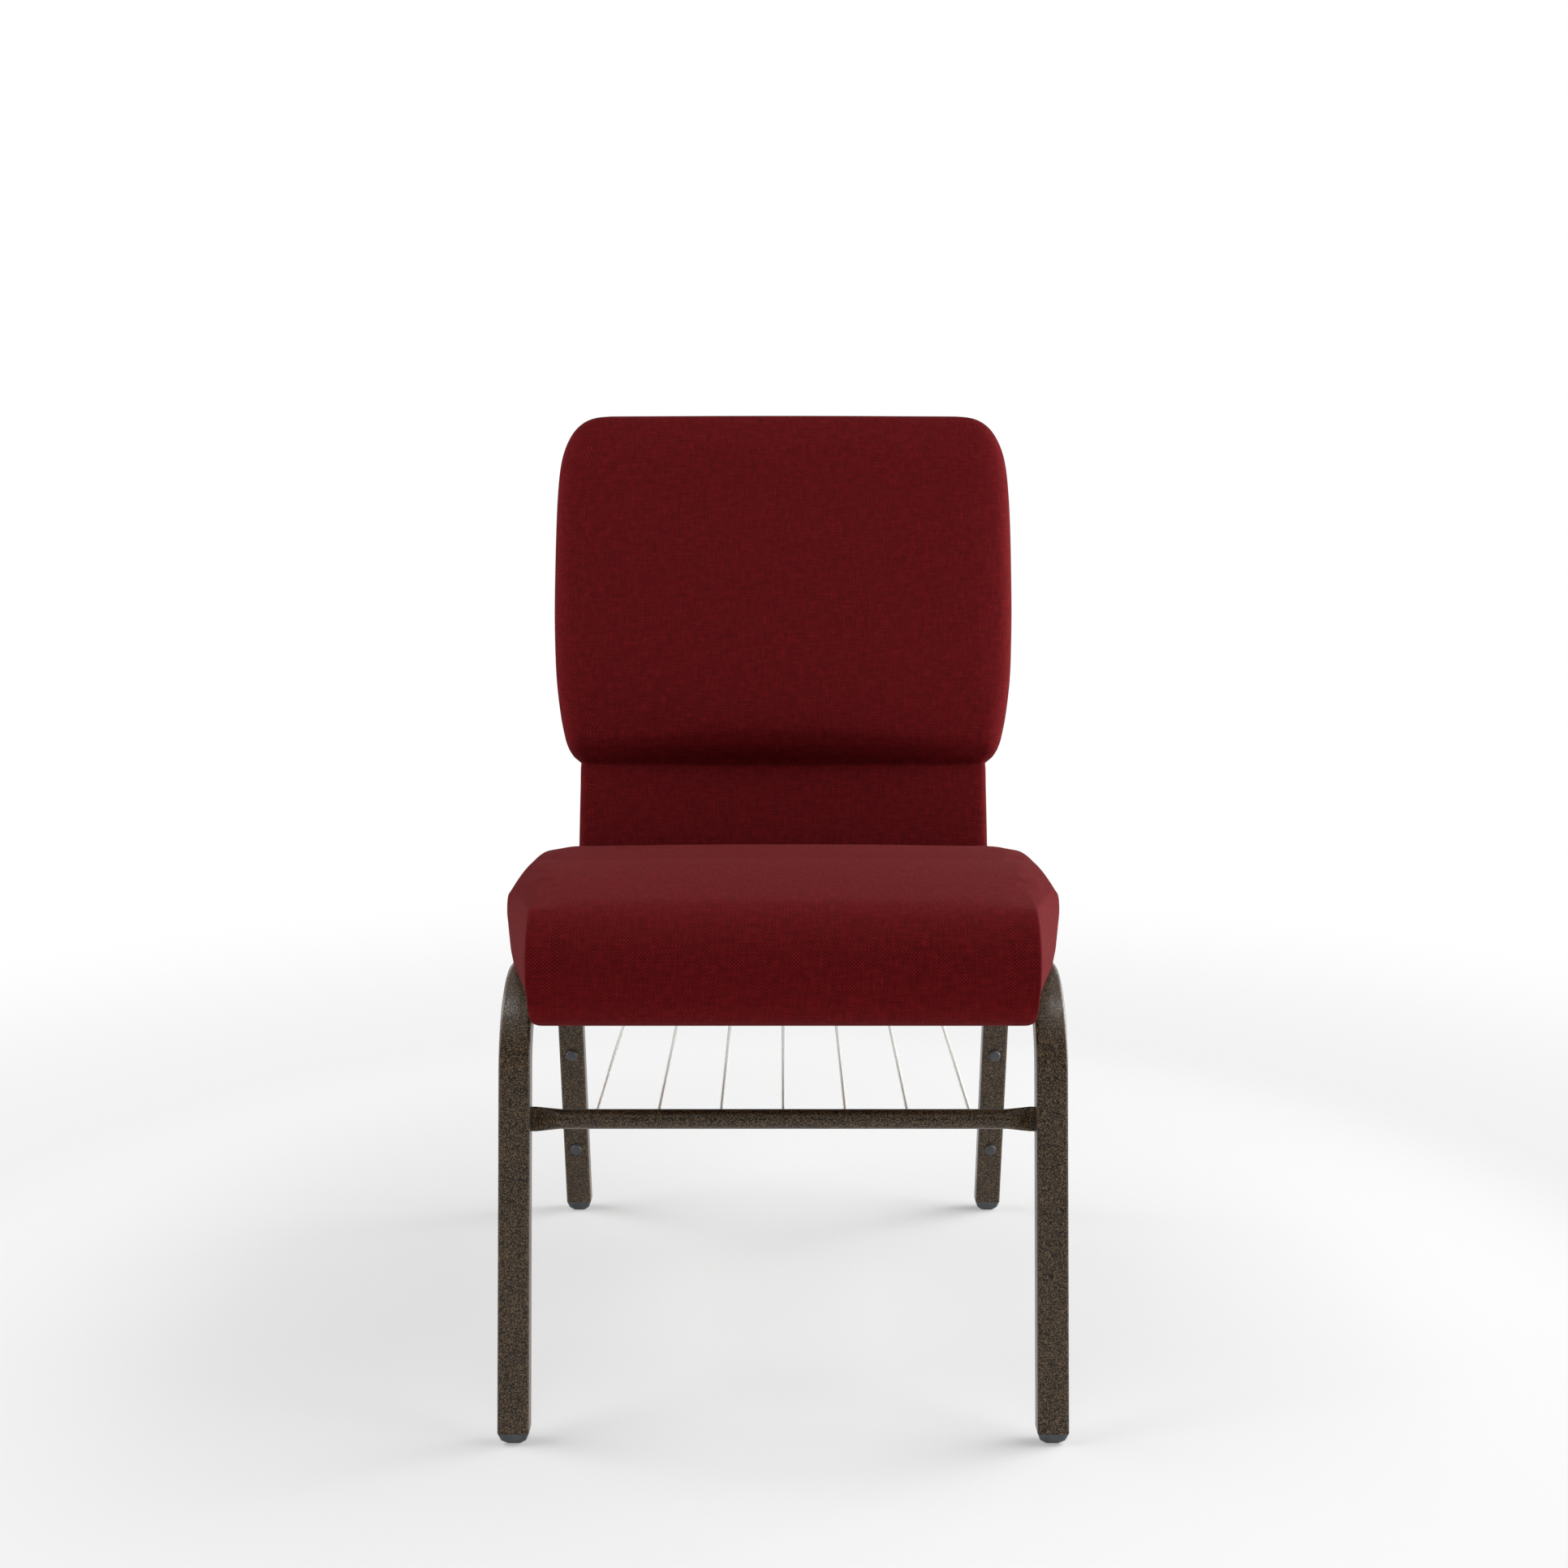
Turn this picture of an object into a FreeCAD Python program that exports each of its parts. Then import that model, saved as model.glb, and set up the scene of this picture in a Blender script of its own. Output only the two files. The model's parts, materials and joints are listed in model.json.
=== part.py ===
import FreeCAD, Part
import Sketcher
import math
import os
import re
from FreeCAD import Placement, Rotation, Vector

# Stacking guest chair with a wire book rack under the seat.
# Millimetres and degrees. X to the right seen from the front, Y to the back, Z up.
# The origin lies on the floor in the middle of the overall box.

doc = FreeCAD.newDocument("guest_chair")
sheet = doc.addObject("Spreadsheet::Sheet", "Sizes")

SIZES = (
    ("frame_width", 457.2, "width over the outer faces of the side frames"),
    ("tube_face", 25.4, "frame tube, across the chair"),
    ("tube_depth", 19.05, "frame tube, in the plane of the bend"),
    ("tube_wall", 1.5, "wall of the frame tube"),
    ("tube_corner", 3.0, "outer corner radius of the frame tube"),
    ("bend_radius", 66.7, "centreline radius of the frame bends"),
    ("front_foot", -292.7, "front leg centreline at the floor"),
    ("rear_foot", 216.0, "rear leg centreline at the floor"),
    ("front_leg_lean", 7.74, "front leg leans to the back by this angle"),
    ("rear_leg_lean", 15.4, "rear leg leans to the front by this angle"),
    ("rail_height", 343.98, "rail centreline above the origin"),
    ("rail_drop", 3.38, "rail falls to the back by this angle"),
    ("fit_clearance", 0.2, "play of plugs, screws and bolts in their holes"),
    ("soft_gap", 0.3, "gap between upholstery and its neighbours"),
    ("glide_height", 10.0, "visible height of a leg glide"),
    ("glide_taper", 6.0, "sole of a glide drawn in from the tube's faces"),
    ("glide_insert", 14.0, "length of the glide's plug in the tube"),
    ("bumper_head", 11.5, "diameter of a stacking bumper"),
    ("bumper_height", 3.5, "height of a stacking bumper"),
    ("bumper_round", 1.4, "rounding of the bumper's rim"),
    ("bumper_stem", 7.0, "stem diameter of a stacking bumper"),
    ("bumper_stem_length", 8.0, "stem length of a stacking bumper"),
    ("bumper_low", 74.7, "height of the lower bumper"),
    ("bumper_high", 184.3, "height of the upper bumper"),
    ("rack_tube", 15.9, "diameter of the rack tubes"),
    ("rack_wall", 1.2, "wall of the rack tubes"),
    ("tab_thickness", 3.2, "thickness of the flattened tube ends"),
    ("tab_height", 20.0, "height of the flattened tube ends"),
    ("tab_reach", 9.5, "flattened end runs past the screw"),
    ("tab_corner", 5.0, "corner radius of the flattened ends"),
    ("flare_length", 19.0, "length over which the tube is flattened"),
    ("flare_gap", 3.2, "flat part before the leg's inner face"),
    ("rack_front_height", 252.0, "height of the front rack tube"),
    ("rack_rear_height", 246.8, "height of the rear rack tube"),
    ("wire_diameter", 3.3, "diameter of the rack wires"),
    ("wire_pitch", 51.0, "spacing of the rack wires"),
    ("screw_head", 11.0, "head diameter of the rack screws"),
    ("screw_head_height", 3.0, "head height of the rack screws"),
    ("screw_shank", 4.8, "shank diameter of the rack screws"),
    ("screw_length", 12.0, "shank length of the rack screws"),
    ("recess_length", 6.0, "length of the screw's cross recess"),
    ("recess_width", 1.3, "width of the screw's cross recess"),
    ("recess_depth", 1.6, "depth of the screw's cross recess"),
    ("front_rail_place", -167.0, "front cross tube, along the seat from the origin"),
    ("rear_rail_place", 113.0, "rear cross tube, along the seat from the origin"),
    ("board_thickness", 12.0, "seat board"),
    ("board_front", -250.0, "front edge of the seat board, along the seat"),
    ("board_rear", 122.0, "rear edge of the seat board, along the seat"),
    ("board_side_gap", 1.7, "gap between the seat board and the side frames"),
    ("board_corner", 15.0, "corner radius of the seat board"),
    ("dust_thickness", 1.0, "dust cover under the seat board"),
    ("bolt_diameter", 6.0, "seat bolts"),
    ("bolt_head", 12.0, "head diameter of the seat bolts"),
    ("bolt_head_height", 4.0, "head height of the seat bolts"),
    ("bolt_spread", 240.0, "spacing of the seat bolts across the chair"),
    ("rear_bolt_inset", 7.0, "rear bolts stand forward of the middle of their tube"),
    ("nut_flange", 12.0, "flange diameter of the tee nuts"),
    ("nut_flange_thickness", 1.2, "flange of the tee nuts"),
    ("nut_barrel", 8.0, "barrel diameter of the tee nuts"),
    ("nut_length", 9.0, "overall length of the tee nuts"),
    ("seat_overhang", 8.2, "cushion stands out past the side frames"),
    ("seat_roll_gap", 2.6, "gap between the front roll and the front legs"),
    ("seat_front", -305.0, "front of the cushion, along the seat"),
    ("seat_rear", 111.0, "rear of the cushion, along the seat"),
    ("seat_side_front", -144.0, "front of the cushion at its widest, along the seat"),
    ("seat_edge_height", 68.5, "cushion above the rails where the wings begin"),
    ("seat_crown", 2.2, "middle of the cushion above that edge"),
    ("seat_corner_setback", 14.0, "rear corners of the cushion drawn forward at its widest"),
    ("roll_bottom", 32.8, "front roll below the rails"),
    ("roll_bottom_place", -258.0, "lowest line of the front roll, along the seat"),
    ("roll_tail", 22.0, "rear edge of the roll's underside below the rails"),
    ("roll_tail_place", -184.0, "rear edge of the roll's underside, along the seat"),
    ("roll_end_round", 7.0, "rounding of the roll's lower corners"),
    ("roll_lap", 6.0, "roll runs up into the cushion"),
    ("roll_lap_setback", 1.0, "front of that lap behind the cushion's front"),
    ("cover_thickness", 1.2, "upholstery fabric"),
    ("back_floor_place", 26.8, "front plane of the back posts at the floor"),
    ("back_lean", 17.3, "back posts lean to the back by this angle"),
    ("post_bottom", 337.0, "lower end of the posts, along the posts from the floor"),
    ("post_top", 796.0, "upper end of the posts, along the posts from the floor"),
    ("back_bottom", 358.0, "lower edge of the back, along the posts"),
    ("back_waist", 504.0, "crease of the back, along the posts"),
    ("back_top", 868.2, "upper edge of the back, along the posts"),
    ("waist_inset", 24.6, "sides of the lower back inside the side frames' outer faces"),
    ("back_overhang", 5.4, "sides of the upper back outside the side frames' outer faces"),
    ("panel_inset", 21.6, "sides of the upper back's rear face inside the side frames' outer faces"),
    ("back_lower_depth", 25.0, "lower back in front of the posts"),
    ("back_lower_crown", 3.0, "middle of the lower back stands out past its edges"),
    ("back_lower_radius", 8.0, "front edges of the lower back"),
    ("back_lower_round", 5.0, "lower rim of the back drawn in"),
    ("back_lower_round_height", 22.0, "height of that rounding"),
    ("flank_draw", 1.5, "rear edges of the lower back drawn in"),
    ("flank_bulge", 1.0, "flanks of the back stand out past their rear edges"),
    ("crease_depth", 6.0, "front of the lower back drawn in at the crease"),
    ("crease_height", 27.0, "height of the lower back's fall into the crease"),
    ("swell_height", 155.0, "upper back has its full width this far above the crease"),
    ("back_edge_depth", 37.0, "rounded edge of the upper back in front of the posts"),
    ("back_edge_radius", 18.0, "front edges of the upper back"),
    ("back_crown_depth", 42.0, "middle of the upper back in front of the posts"),
    ("lumbar_depth", 50.0, "lumbar bulge in front of the posts"),
    ("back_rear_depth", 24.0, "upper back behind the posts' front plane"),
    ("back_corner_width", 49.0, "top corners of the back drawn in"),
    ("panel_corner_width", 42.0, "top corners of the back's rear face drawn in"),
    ("back_corner_height", 95.0, "height of the top corners"),
    ("top_front_draw", 25.0, "middle of the front drawn in at the upper edge"),
    ("top_edge_draw", 21.0, "edges of the front drawn in at the upper edge"),
    ("top_front_height", 60.0, "height of the front's rounding at the upper edge"),
    ("top_rear_draw", 16.0, "rear face drawn in at the upper edge"),
    ("top_rear_height", 20.0, "height of the rear face's rounding at the upper edge"),
    ("top_edge_radius", 8.0, "front edges at the upper edge of the back"),
    ("back_board_thickness", 9.5, "plywood of the back"),
    ("lower_board_edge", 5.0, "back board inside the lower back's outline"),
    ("upper_board_edge", 11.0, "back board inside the upper back's outline"),
    ("back_board_corner", 36.0, "cut-off top corners of the back board"),
    ("panel_thickness", 3.0, "rear panel of the back"),
    ("panel_edge", 4.0, "rear panel inside the rear face's outline"),
    ("panel_top_edge", 22.0, "rear panel below the upper edge of the back"),
    ("panel_corner", 30.0, "corner radius of the rear panel"),
    ("back_screw_low", 395.0, "lower back screws, along the posts"),
    ("back_screw_high", 470.0, "upper back screws, along the posts"),
    ("back_screw_shank", 4.2, "shank diameter of the back screws"),
    ("back_screw_head", 9.0, "head diameter of the back screws"),
    ("back_screw_stop", 3.0, "tips of the back screws short of the board's front"),
    ("back_pilot_stop", 2.0, "pilot holes short of the board's front"),
    ("gang_front", -94.0, "front edge of the ganging loop, along the seat"),
    ("gang_rear", -29.5, "rear edge of the ganging loop, along the seat"),
    ("gang_reach", 8.2, "ganging parts stand out past the side frames"),
    ("gang_strip", 3.0, "strip thickness of the ganging parts"),
    ("gang_bar", 3.3, "width of the loop's outer bar"),
    ("gang_lap", 22.0, "width of the ganging parts under the rail"),
    ("gang_hook_inset", 7.0, "hook is shorter than the loop at each end"),
    ("gang_lip", 6.0, "downturned lip of the hook"),
)

for row, (name, amount, note) in enumerate(SIZES, start=1):
    sheet.set(f"A{row}", name)
    sheet.set(f"B{row}", str(amount))
    sheet.setAlias(f"B{row}", name)
    sheet.set(f"C{row}", note)
doc.recompute()

NAMES = {name for name, _, _ in SIZES}

# Places that several pieces share, as formulas of the sizes
FRAME_X = "(frame_width - tube_face)/2"
INNER_X = "(frame_width/2 - tube_face)"
POST_X = "(frame_width/2 - tube_face*3/2)"
RAIL_TOP = "(rail_height + tube_depth/2/cos(rail_drop))"
FRONT_TAB_Y = "(front_foot + (tube_depth + tab_thickness)/2/cos(front_leg_lean)" \
              " + rack_front_height*tan(front_leg_lean))"
REAR_TAB_Y = "(rear_foot - (tube_depth + tab_thickness)/2/cos(rear_leg_lean)" \
             " - rack_rear_height*tan(rear_leg_lean))"
FRONT_LEG_REAR_FACE = "(front_foot + tube_depth/2/cos(front_leg_lean))"
REAR_LEG_FRONT_FACE = "(rear_foot - tube_depth/2/cos(rear_leg_lean))"
WAIST_HALF = "(frame_width/2 - waist_inset)"
BACK_HALF = "(frame_width/2 + back_overhang)"
PANEL_HALF = "(frame_width/2 - panel_inset)"
TOWARD_BACK = Vector(-1, 0, 0)
TOWARD_FRONT = Vector(1, 0, 0)


# Helpers for formulas, sketches and features

def formula(text):
    """Write a formula of plain size names as a formula of the sheet."""
    def sheet_name(found):
        word = found.group()
        return "Sizes." + word if word in NAMES else word
    return re.sub(r"[a-z_]+", sheet_name, text)


def number(text):
    return float(sheet.evalExpression(formula(text)))


def bind(item, path, text):
    item.setExpression(path, formula(text))


def new_body(label):
    body = doc.addObject("PartDesign::Body", label)
    body.Label = label
    return body


def new_sketch(body, role, name, lift=None):
    """Sketch on one of the body's own planes, lifted off it when asked."""
    sketch = body.newObject("Sketcher::SketchObject", name)
    plane = next(item for item in body.Origin.OriginFeatures if item.Role == role)
    sketch.AttachmentSupport = [(plane, "")]
    sketch.MapMode = "FlatFace"
    if lift:
        bind(sketch, "AttachmentOffset.Base.z", lift)
    return sketch


def tilt_sketch(sketch, shift_axis, shift, axis, angle):
    """Move a sketch off its plane and tilt it about the chair's width."""
    base = Vector(0, 0, 0)
    setattr(base, shift_axis, number(shift))
    sketch.AttachmentOffset = Placement(base, Rotation(axis, number(angle)))
    bind(sketch, f"AttachmentOffset.Base.{shift_axis}", shift)
    bind(sketch, "AttachmentOffset.Rotation.Angle", angle)


def dimension(sketch, kind, *where, text):
    amount = number(text)
    start = math.radians(amount) if kind == "Angle" else amount
    index = sketch.addConstraint(Sketcher.Constraint(kind, *where, start))
    bind(sketch, f"Constraints[{index}]", text)


def circle(sketch, diameter, x="0", y="0"):
    middle = Vector(number(x), number(y), 0)
    index = sketch.addGeometry(Part.Circle(middle, Vector(0, 0, 1), number(diameter) / 2))
    dimension(sketch, "Diameter", index, text=diameter)
    dimension(sketch, "DistanceX", -1, 1, index, 3, text=x)
    dimension(sketch, "DistanceY", -1, 1, index, 3, text=y)


def polygon(sketch, corners):
    """Closed outline with each corner's place bound to two formulas."""
    first = sketch.GeometryCount
    points = [Vector(number(x), number(y), 0) for x, y in corners]
    count = len(points)
    for index, point in enumerate(points):
        sketch.addGeometry(Part.LineSegment(point, points[(index + 1) % count]))
    for index in range(count):
        following = first + (index + 1) % count
        sketch.addConstraint(Sketcher.Constraint("Coincident", first + index, 2, following, 1))
    for index, (x, y) in enumerate(corners):
        dimension(sketch, "DistanceX", -1, 1, first + index, 1, text=x)
        dimension(sketch, "DistanceY", -1, 1, first + index, 1, text=y)


def rounded_rectangle(sketch, width, height, radius, x="0", y="0"):
    """Rectangle about a middle point, with four equal corner arcs."""
    first = sketch.GeometryCount
    r = number(radius)
    right = number(x) + number(width) / 2
    left = number(x) - number(width) / 2
    top = number(y) + number(height) / 2
    bottom = number(y) - number(height) / 2
    sides = (
        (Vector(left + r, bottom, 0), Vector(right - r, bottom, 0), Vector(right - r, bottom + r, 0), -90),
        (Vector(right, bottom + r, 0), Vector(right, top - r, 0), Vector(right - r, top - r, 0), 0),
        (Vector(right - r, top, 0), Vector(left + r, top, 0), Vector(left + r, top - r, 0), 90),
        (Vector(left, top - r, 0), Vector(left, bottom + r, 0), Vector(left + r, bottom + r, 0), 180),
    )
    for start, end, centre, angle in sides:
        sketch.addGeometry(Part.LineSegment(start, end))
        corner = Part.Circle(centre, Vector(0, 0, 1), r)
        sketch.addGeometry(Part.ArcOfCircle(corner, math.radians(angle), math.radians(angle + 90)))
    for index in range(0, 8, 2):
        line = first + index
        following = first + (index + 2) % 8
        sketch.addConstraint(Sketcher.Constraint("Tangent", line, 2, line + 1, 1))
        sketch.addConstraint(Sketcher.Constraint("Tangent", line + 1, 2, following, 1))
    for line, kind in ((0, "Horizontal"), (2, "Vertical"), (4, "Horizontal"), (6, "Vertical")):
        sketch.addConstraint(Sketcher.Constraint(kind, first + line))
    for arc in (3, 5, 7):
        sketch.addConstraint(Sketcher.Constraint("Equal", first + 1, first + arc))
    dimension(sketch, "Radius", first + 1, text=radius)
    dimension(sketch, "DistanceX", first + 6, 1, first + 2, 1, text=width)
    dimension(sketch, "DistanceY", first, 1, first + 4, 1, text=height)
    dimension(sketch, "DistanceX", -1, 1, first + 2, 1, text=f"{x} + ({width})/2")
    dimension(sketch, "DistanceY", -1, 1, first + 4, 1, text=f"{y} + ({height})/2")


def extrude(body, kind, sketch, length, name, symmetric=False, reverse=False):
    """Pad or Pocket of a sketch by a bound length."""
    feature = body.newObject("PartDesign::" + kind, name)
    feature.Profile = sketch
    bind(feature, "Length", length)
    if symmetric:
        feature.SideType = "Symmetric"
    feature.Reversed = reverse
    doc.recompute()
    return feature


def round_edges(body, base, radius, name, chosen):
    feature = body.newObject("PartDesign::Fillet", name)
    edges = [f"Edge{index}" for index, edge in enumerate(base.Shape.Edges, start=1) if chosen(edge)]
    feature.Base = (base, edges)
    bind(feature, "Radius", radius)
    doc.recompute()
    return feature


def place(item, x="0", y="0", z="0", axis=TOWARD_BACK, angle="0"):
    """Put an item at a bound place, tilted about the chair's width."""
    item.Placement = Placement(Vector(number(x), number(y), number(z)), Rotation(axis, number(angle)))
    for letter, text in (("x", x), ("y", y), ("z", z)):
        bind(item, f"Placement.Base.{letter}", text)
    if angle != "0":
        bind(item, "Placement.Rotation.Angle", angle)


def place_on_seat(item, x="0"):
    """The seat's own axes start at the top of the rails and follow their fall."""
    place(item, x=x, z=RAIL_TOP, angle="rail_drop")


def place_on_back(item, x="0"):
    """The back's own axes start where the posts' front plane meets the floor."""
    place(item, x=x, y="back_floor_place", angle="back_lean")


def group(label, members):
    compound = doc.addObject("Part::Compound", label)
    compound.Label = label
    compound.Links = members
    return compound


def hollow_tube_outline(sketch, across, along, x="0", y="0"):
    rounded_rectangle(sketch, across, along, "tube_corner", x, y)
    rounded_rectangle(sketch, f"{across} - 2*tube_wall", f"{along} - 2*tube_wall",
                      "tube_corner - tube_wall", x, y)


# Side frames

def frame_path(body, name):
    """Centreline of the bent tube: front leg, bend, rail, bend, rear leg."""
    sketch = new_sketch(body, "YZ_Plane", name)
    front_lean, rear_lean = math.radians(number("front_leg_lean")), math.radians(number("rear_leg_lean"))
    drop, radius = math.radians(number("rail_drop")), number("bend_radius")
    up_front = Vector(math.sin(front_lean), math.cos(front_lean), 0)
    up_rear = Vector(-math.sin(rear_lean), math.cos(rear_lean), 0)
    to_back = Vector(math.cos(drop), -math.sin(drop), 0)
    front_foot = Vector(number("front_foot"), 0, 0)
    rear_foot = Vector(number("rear_foot"), 0, 0)
    rail_point = Vector(0, number("rail_height"), 0)

    def corner(foot, up):
        """Where a leg's line meets the rail's line."""
        gap = rail_point - foot
        reach = (gap.x * to_back.y - gap.y * to_back.x) / (up.x * to_back.y - up.y * to_back.x)
        return foot + up * reach

    front_corner, rear_corner = corner(front_foot, up_front), corner(rear_foot, up_rear)
    front_setback = radius * math.tan(up_front.getAngle(to_back) / 2)
    rear_setback = radius * math.tan(up_rear.getAngle(to_back * -1) / 2)
    front_low, front_high = front_corner - up_front * front_setback, front_corner + to_back * front_setback
    rear_low, rear_high = rear_corner - up_rear * rear_setback, rear_corner - to_back * rear_setback
    below_rail = Vector(-math.sin(drop), -math.cos(drop), 0) * radius
    front_centre, rear_centre = front_high + below_rail, rear_high + below_rail

    def bend(centre, start, end):
        arc = Part.Circle(centre, Vector(0, 0, 1), radius)
        angles = [math.atan2(point.y - centre.y, point.x - centre.x) for point in (start, end)]
        return Part.ArcOfCircle(arc, angles[0], angles[1])

    front_leg = sketch.addGeometry(Part.LineSegment(front_foot, front_low))
    front_bend = sketch.addGeometry(bend(front_centre, front_high, front_low))
    rail = sketch.addGeometry(Part.LineSegment(rear_high, front_high))
    rear_bend = sketch.addGeometry(bend(rear_centre, rear_low, rear_high))
    rear_leg = sketch.addGeometry(Part.LineSegment(rear_foot, rear_low))
    for one, one_end, other, other_end in ((front_leg, 2, front_bend, 2), (front_bend, 1, rail, 2),
                                           (rail, 1, rear_bend, 2), (rear_bend, 1, rear_leg, 2)):
        sketch.addConstraint(Sketcher.Constraint("Tangent", one, one_end, other, other_end))
    for leg, foot in ((front_leg, "front_foot"), (rear_leg, "rear_foot")):
        sketch.addConstraint(Sketcher.Constraint("PointOnObject", leg, 1, -1))
        dimension(sketch, "DistanceX", -1, 1, leg, 1, text=foot)
    dimension(sketch, "Angle", front_leg, text="90 - front_leg_lean")
    dimension(sketch, "Angle", rear_leg, text="90 + rear_leg_lean")
    dimension(sketch, "Angle", rail, text="180 - rail_drop")
    for arc in (front_bend, rear_bend):
        dimension(sketch, "Radius", arc, text="bend_radius")
    middle = sketch.addGeometry(Part.Point(rail_point), True)
    sketch.addConstraint(Sketcher.Constraint("PointOnObject", middle, 1, -2))
    sketch.addConstraint(Sketcher.Constraint("PointOnObject", middle, 1, rail))
    dimension(sketch, "DistanceY", -1, 1, middle, 1, text="rail_height")
    return sketch


def side_frame(label, side):
    body = new_body(label)
    path = frame_path(body, label + "_path")
    profile = new_sketch(body, "XY_Plane", label + "_profile")
    tilt_sketch(profile, "y", "front_foot", TOWARD_BACK, "front_leg_lean")
    hollow_tube_outline(profile, "tube_face", "tube_depth")
    doc.recompute()
    pipe = body.newObject("PartDesign::AdditivePipe", label + "_tube")
    pipe.Profile = profile
    pipe.Spine = (path, [f"Edge{index}" for index in range(1, 6)])
    doc.recompute()
    floor_cut = new_sketch(body, "YZ_Plane", label + "_floor_cut")
    reach = "(rear_foot - front_foot)"
    polygon(floor_cut, ((f"-{reach}", "-tube_depth"), (reach, "-tube_depth"),
                        (reach, "glide_height"), (f"-{reach}", "glide_height")))
    extrude(body, "Pocket", floor_cut, "2*tube_face", label + "_level_feet", symmetric=True)
    rear_holes = new_sketch(body, "XZ_Plane", label + "_rear_leg_holes")
    tilt_sketch(rear_holes, "z", f"-{REAR_LEG_FRONT_FACE}", TOWARD_FRONT, "rear_leg_lean")
    for height in ("bumper_low", "bumper_high"):
        circle(rear_holes, "bumper_stem + 2*fit_clearance", y=f"{height}/cos(rear_leg_lean)")
    circle(rear_holes, "screw_shank + 2*fit_clearance", y="rack_rear_height/cos(rear_leg_lean)")
    extrude(body, "Pocket", rear_holes, "2*tube_wall", label + "_rear_leg_drilling")
    front_hole = new_sketch(body, "XZ_Plane", label + "_front_leg_hole")
    tilt_sketch(front_hole, "z", f"-{FRONT_LEG_REAR_FACE}", TOWARD_BACK, "front_leg_lean")
    circle(front_hole, "screw_shank + 2*fit_clearance", y="rack_front_height/cos(front_leg_lean)")
    extrude(body, "Pocket", front_hole, "2*tube_wall", label + "_front_leg_drilling", reverse=True)
    place(body, x=f"{side}*{FRAME_X}")
    return body


# Leg glides and stacking bumpers

def glide(label, side, foot, lean, slope):
    """Foot with a level underside and a plug that follows the leg."""
    body = new_body(label)
    depth = f"tube_depth/cos({lean})"
    outlines = []
    levels = (("top", "glide_height", "0"), ("middle", "glide_height*0.35", "glide_taper*0.4"),
              ("sole", "0", "glide_taper"))
    for level, lift, taper in levels:
        outline = new_sketch(body, "XY_Plane", f"{label}_{level}", lift=lift)
        rounded_rectangle(outline, f"(tube_face - 2*{taper})", f"({depth} - 2*{taper})", "tube_corner")
        outlines.append(outline)
    head = body.newObject("PartDesign::AdditiveLoft", label + "_head")
    head.Profile = outlines[0]
    head.Sections = outlines[1:]
    head.Ruled = True
    doc.recompute()
    plug_outline = new_sketch(body, "XY_Plane", label + "_plug_outline", lift="glide_height")
    rounded_rectangle(plug_outline, "tube_face - 2*tube_wall - 2*fit_clearance",
                      f"(tube_depth - 2*tube_wall)/cos({lean}) - 2*fit_clearance", "tube_corner - tube_wall")
    plug = extrude(body, "Pad", plug_outline, "glide_insert", label + "_plug")
    plug.UseCustomVector = True
    plug.AlongSketchNormal = False
    plug.Direction = Vector(0, slope * number(f"sin({lean})"), number(f"cos({lean})"))
    bind(plug, "Direction.y", f"{slope}*sin({lean})")
    bind(plug, "Direction.z", f"cos({lean})")
    place(body, x=f"{side}*{FRAME_X}", y=f"{foot} + {slope}*glide_height*tan({lean})")
    return body


def bumper(label, side, height):
    body = new_body(label)
    outline = new_sketch(body, "XY_Plane", label + "_outline")
    circle(outline, "bumper_head")
    head = extrude(body, "Pad", outline, "bumper_height", label + "_head")
    rim = number("bumper_height") - 0.001
    round_edges(body, head, "bumper_round", label + "_rim", lambda edge: edge.BoundBox.ZMin > rim)
    stem_outline = new_sketch(body, "XY_Plane", label + "_stem_outline")
    circle(stem_outline, "bumper_stem")
    extrude(body, "Pad", stem_outline, "bumper_stem_length", label + "_stem", reverse=True)
    place(body, x=f"{side}*{FRAME_X}", y=f"{REAR_LEG_FRONT_FACE} - {height}*tan(rear_leg_lean)", z=height,
          axis=TOWARD_FRONT, angle="90 + rear_leg_lean")
    return body


# Book rack

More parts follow.
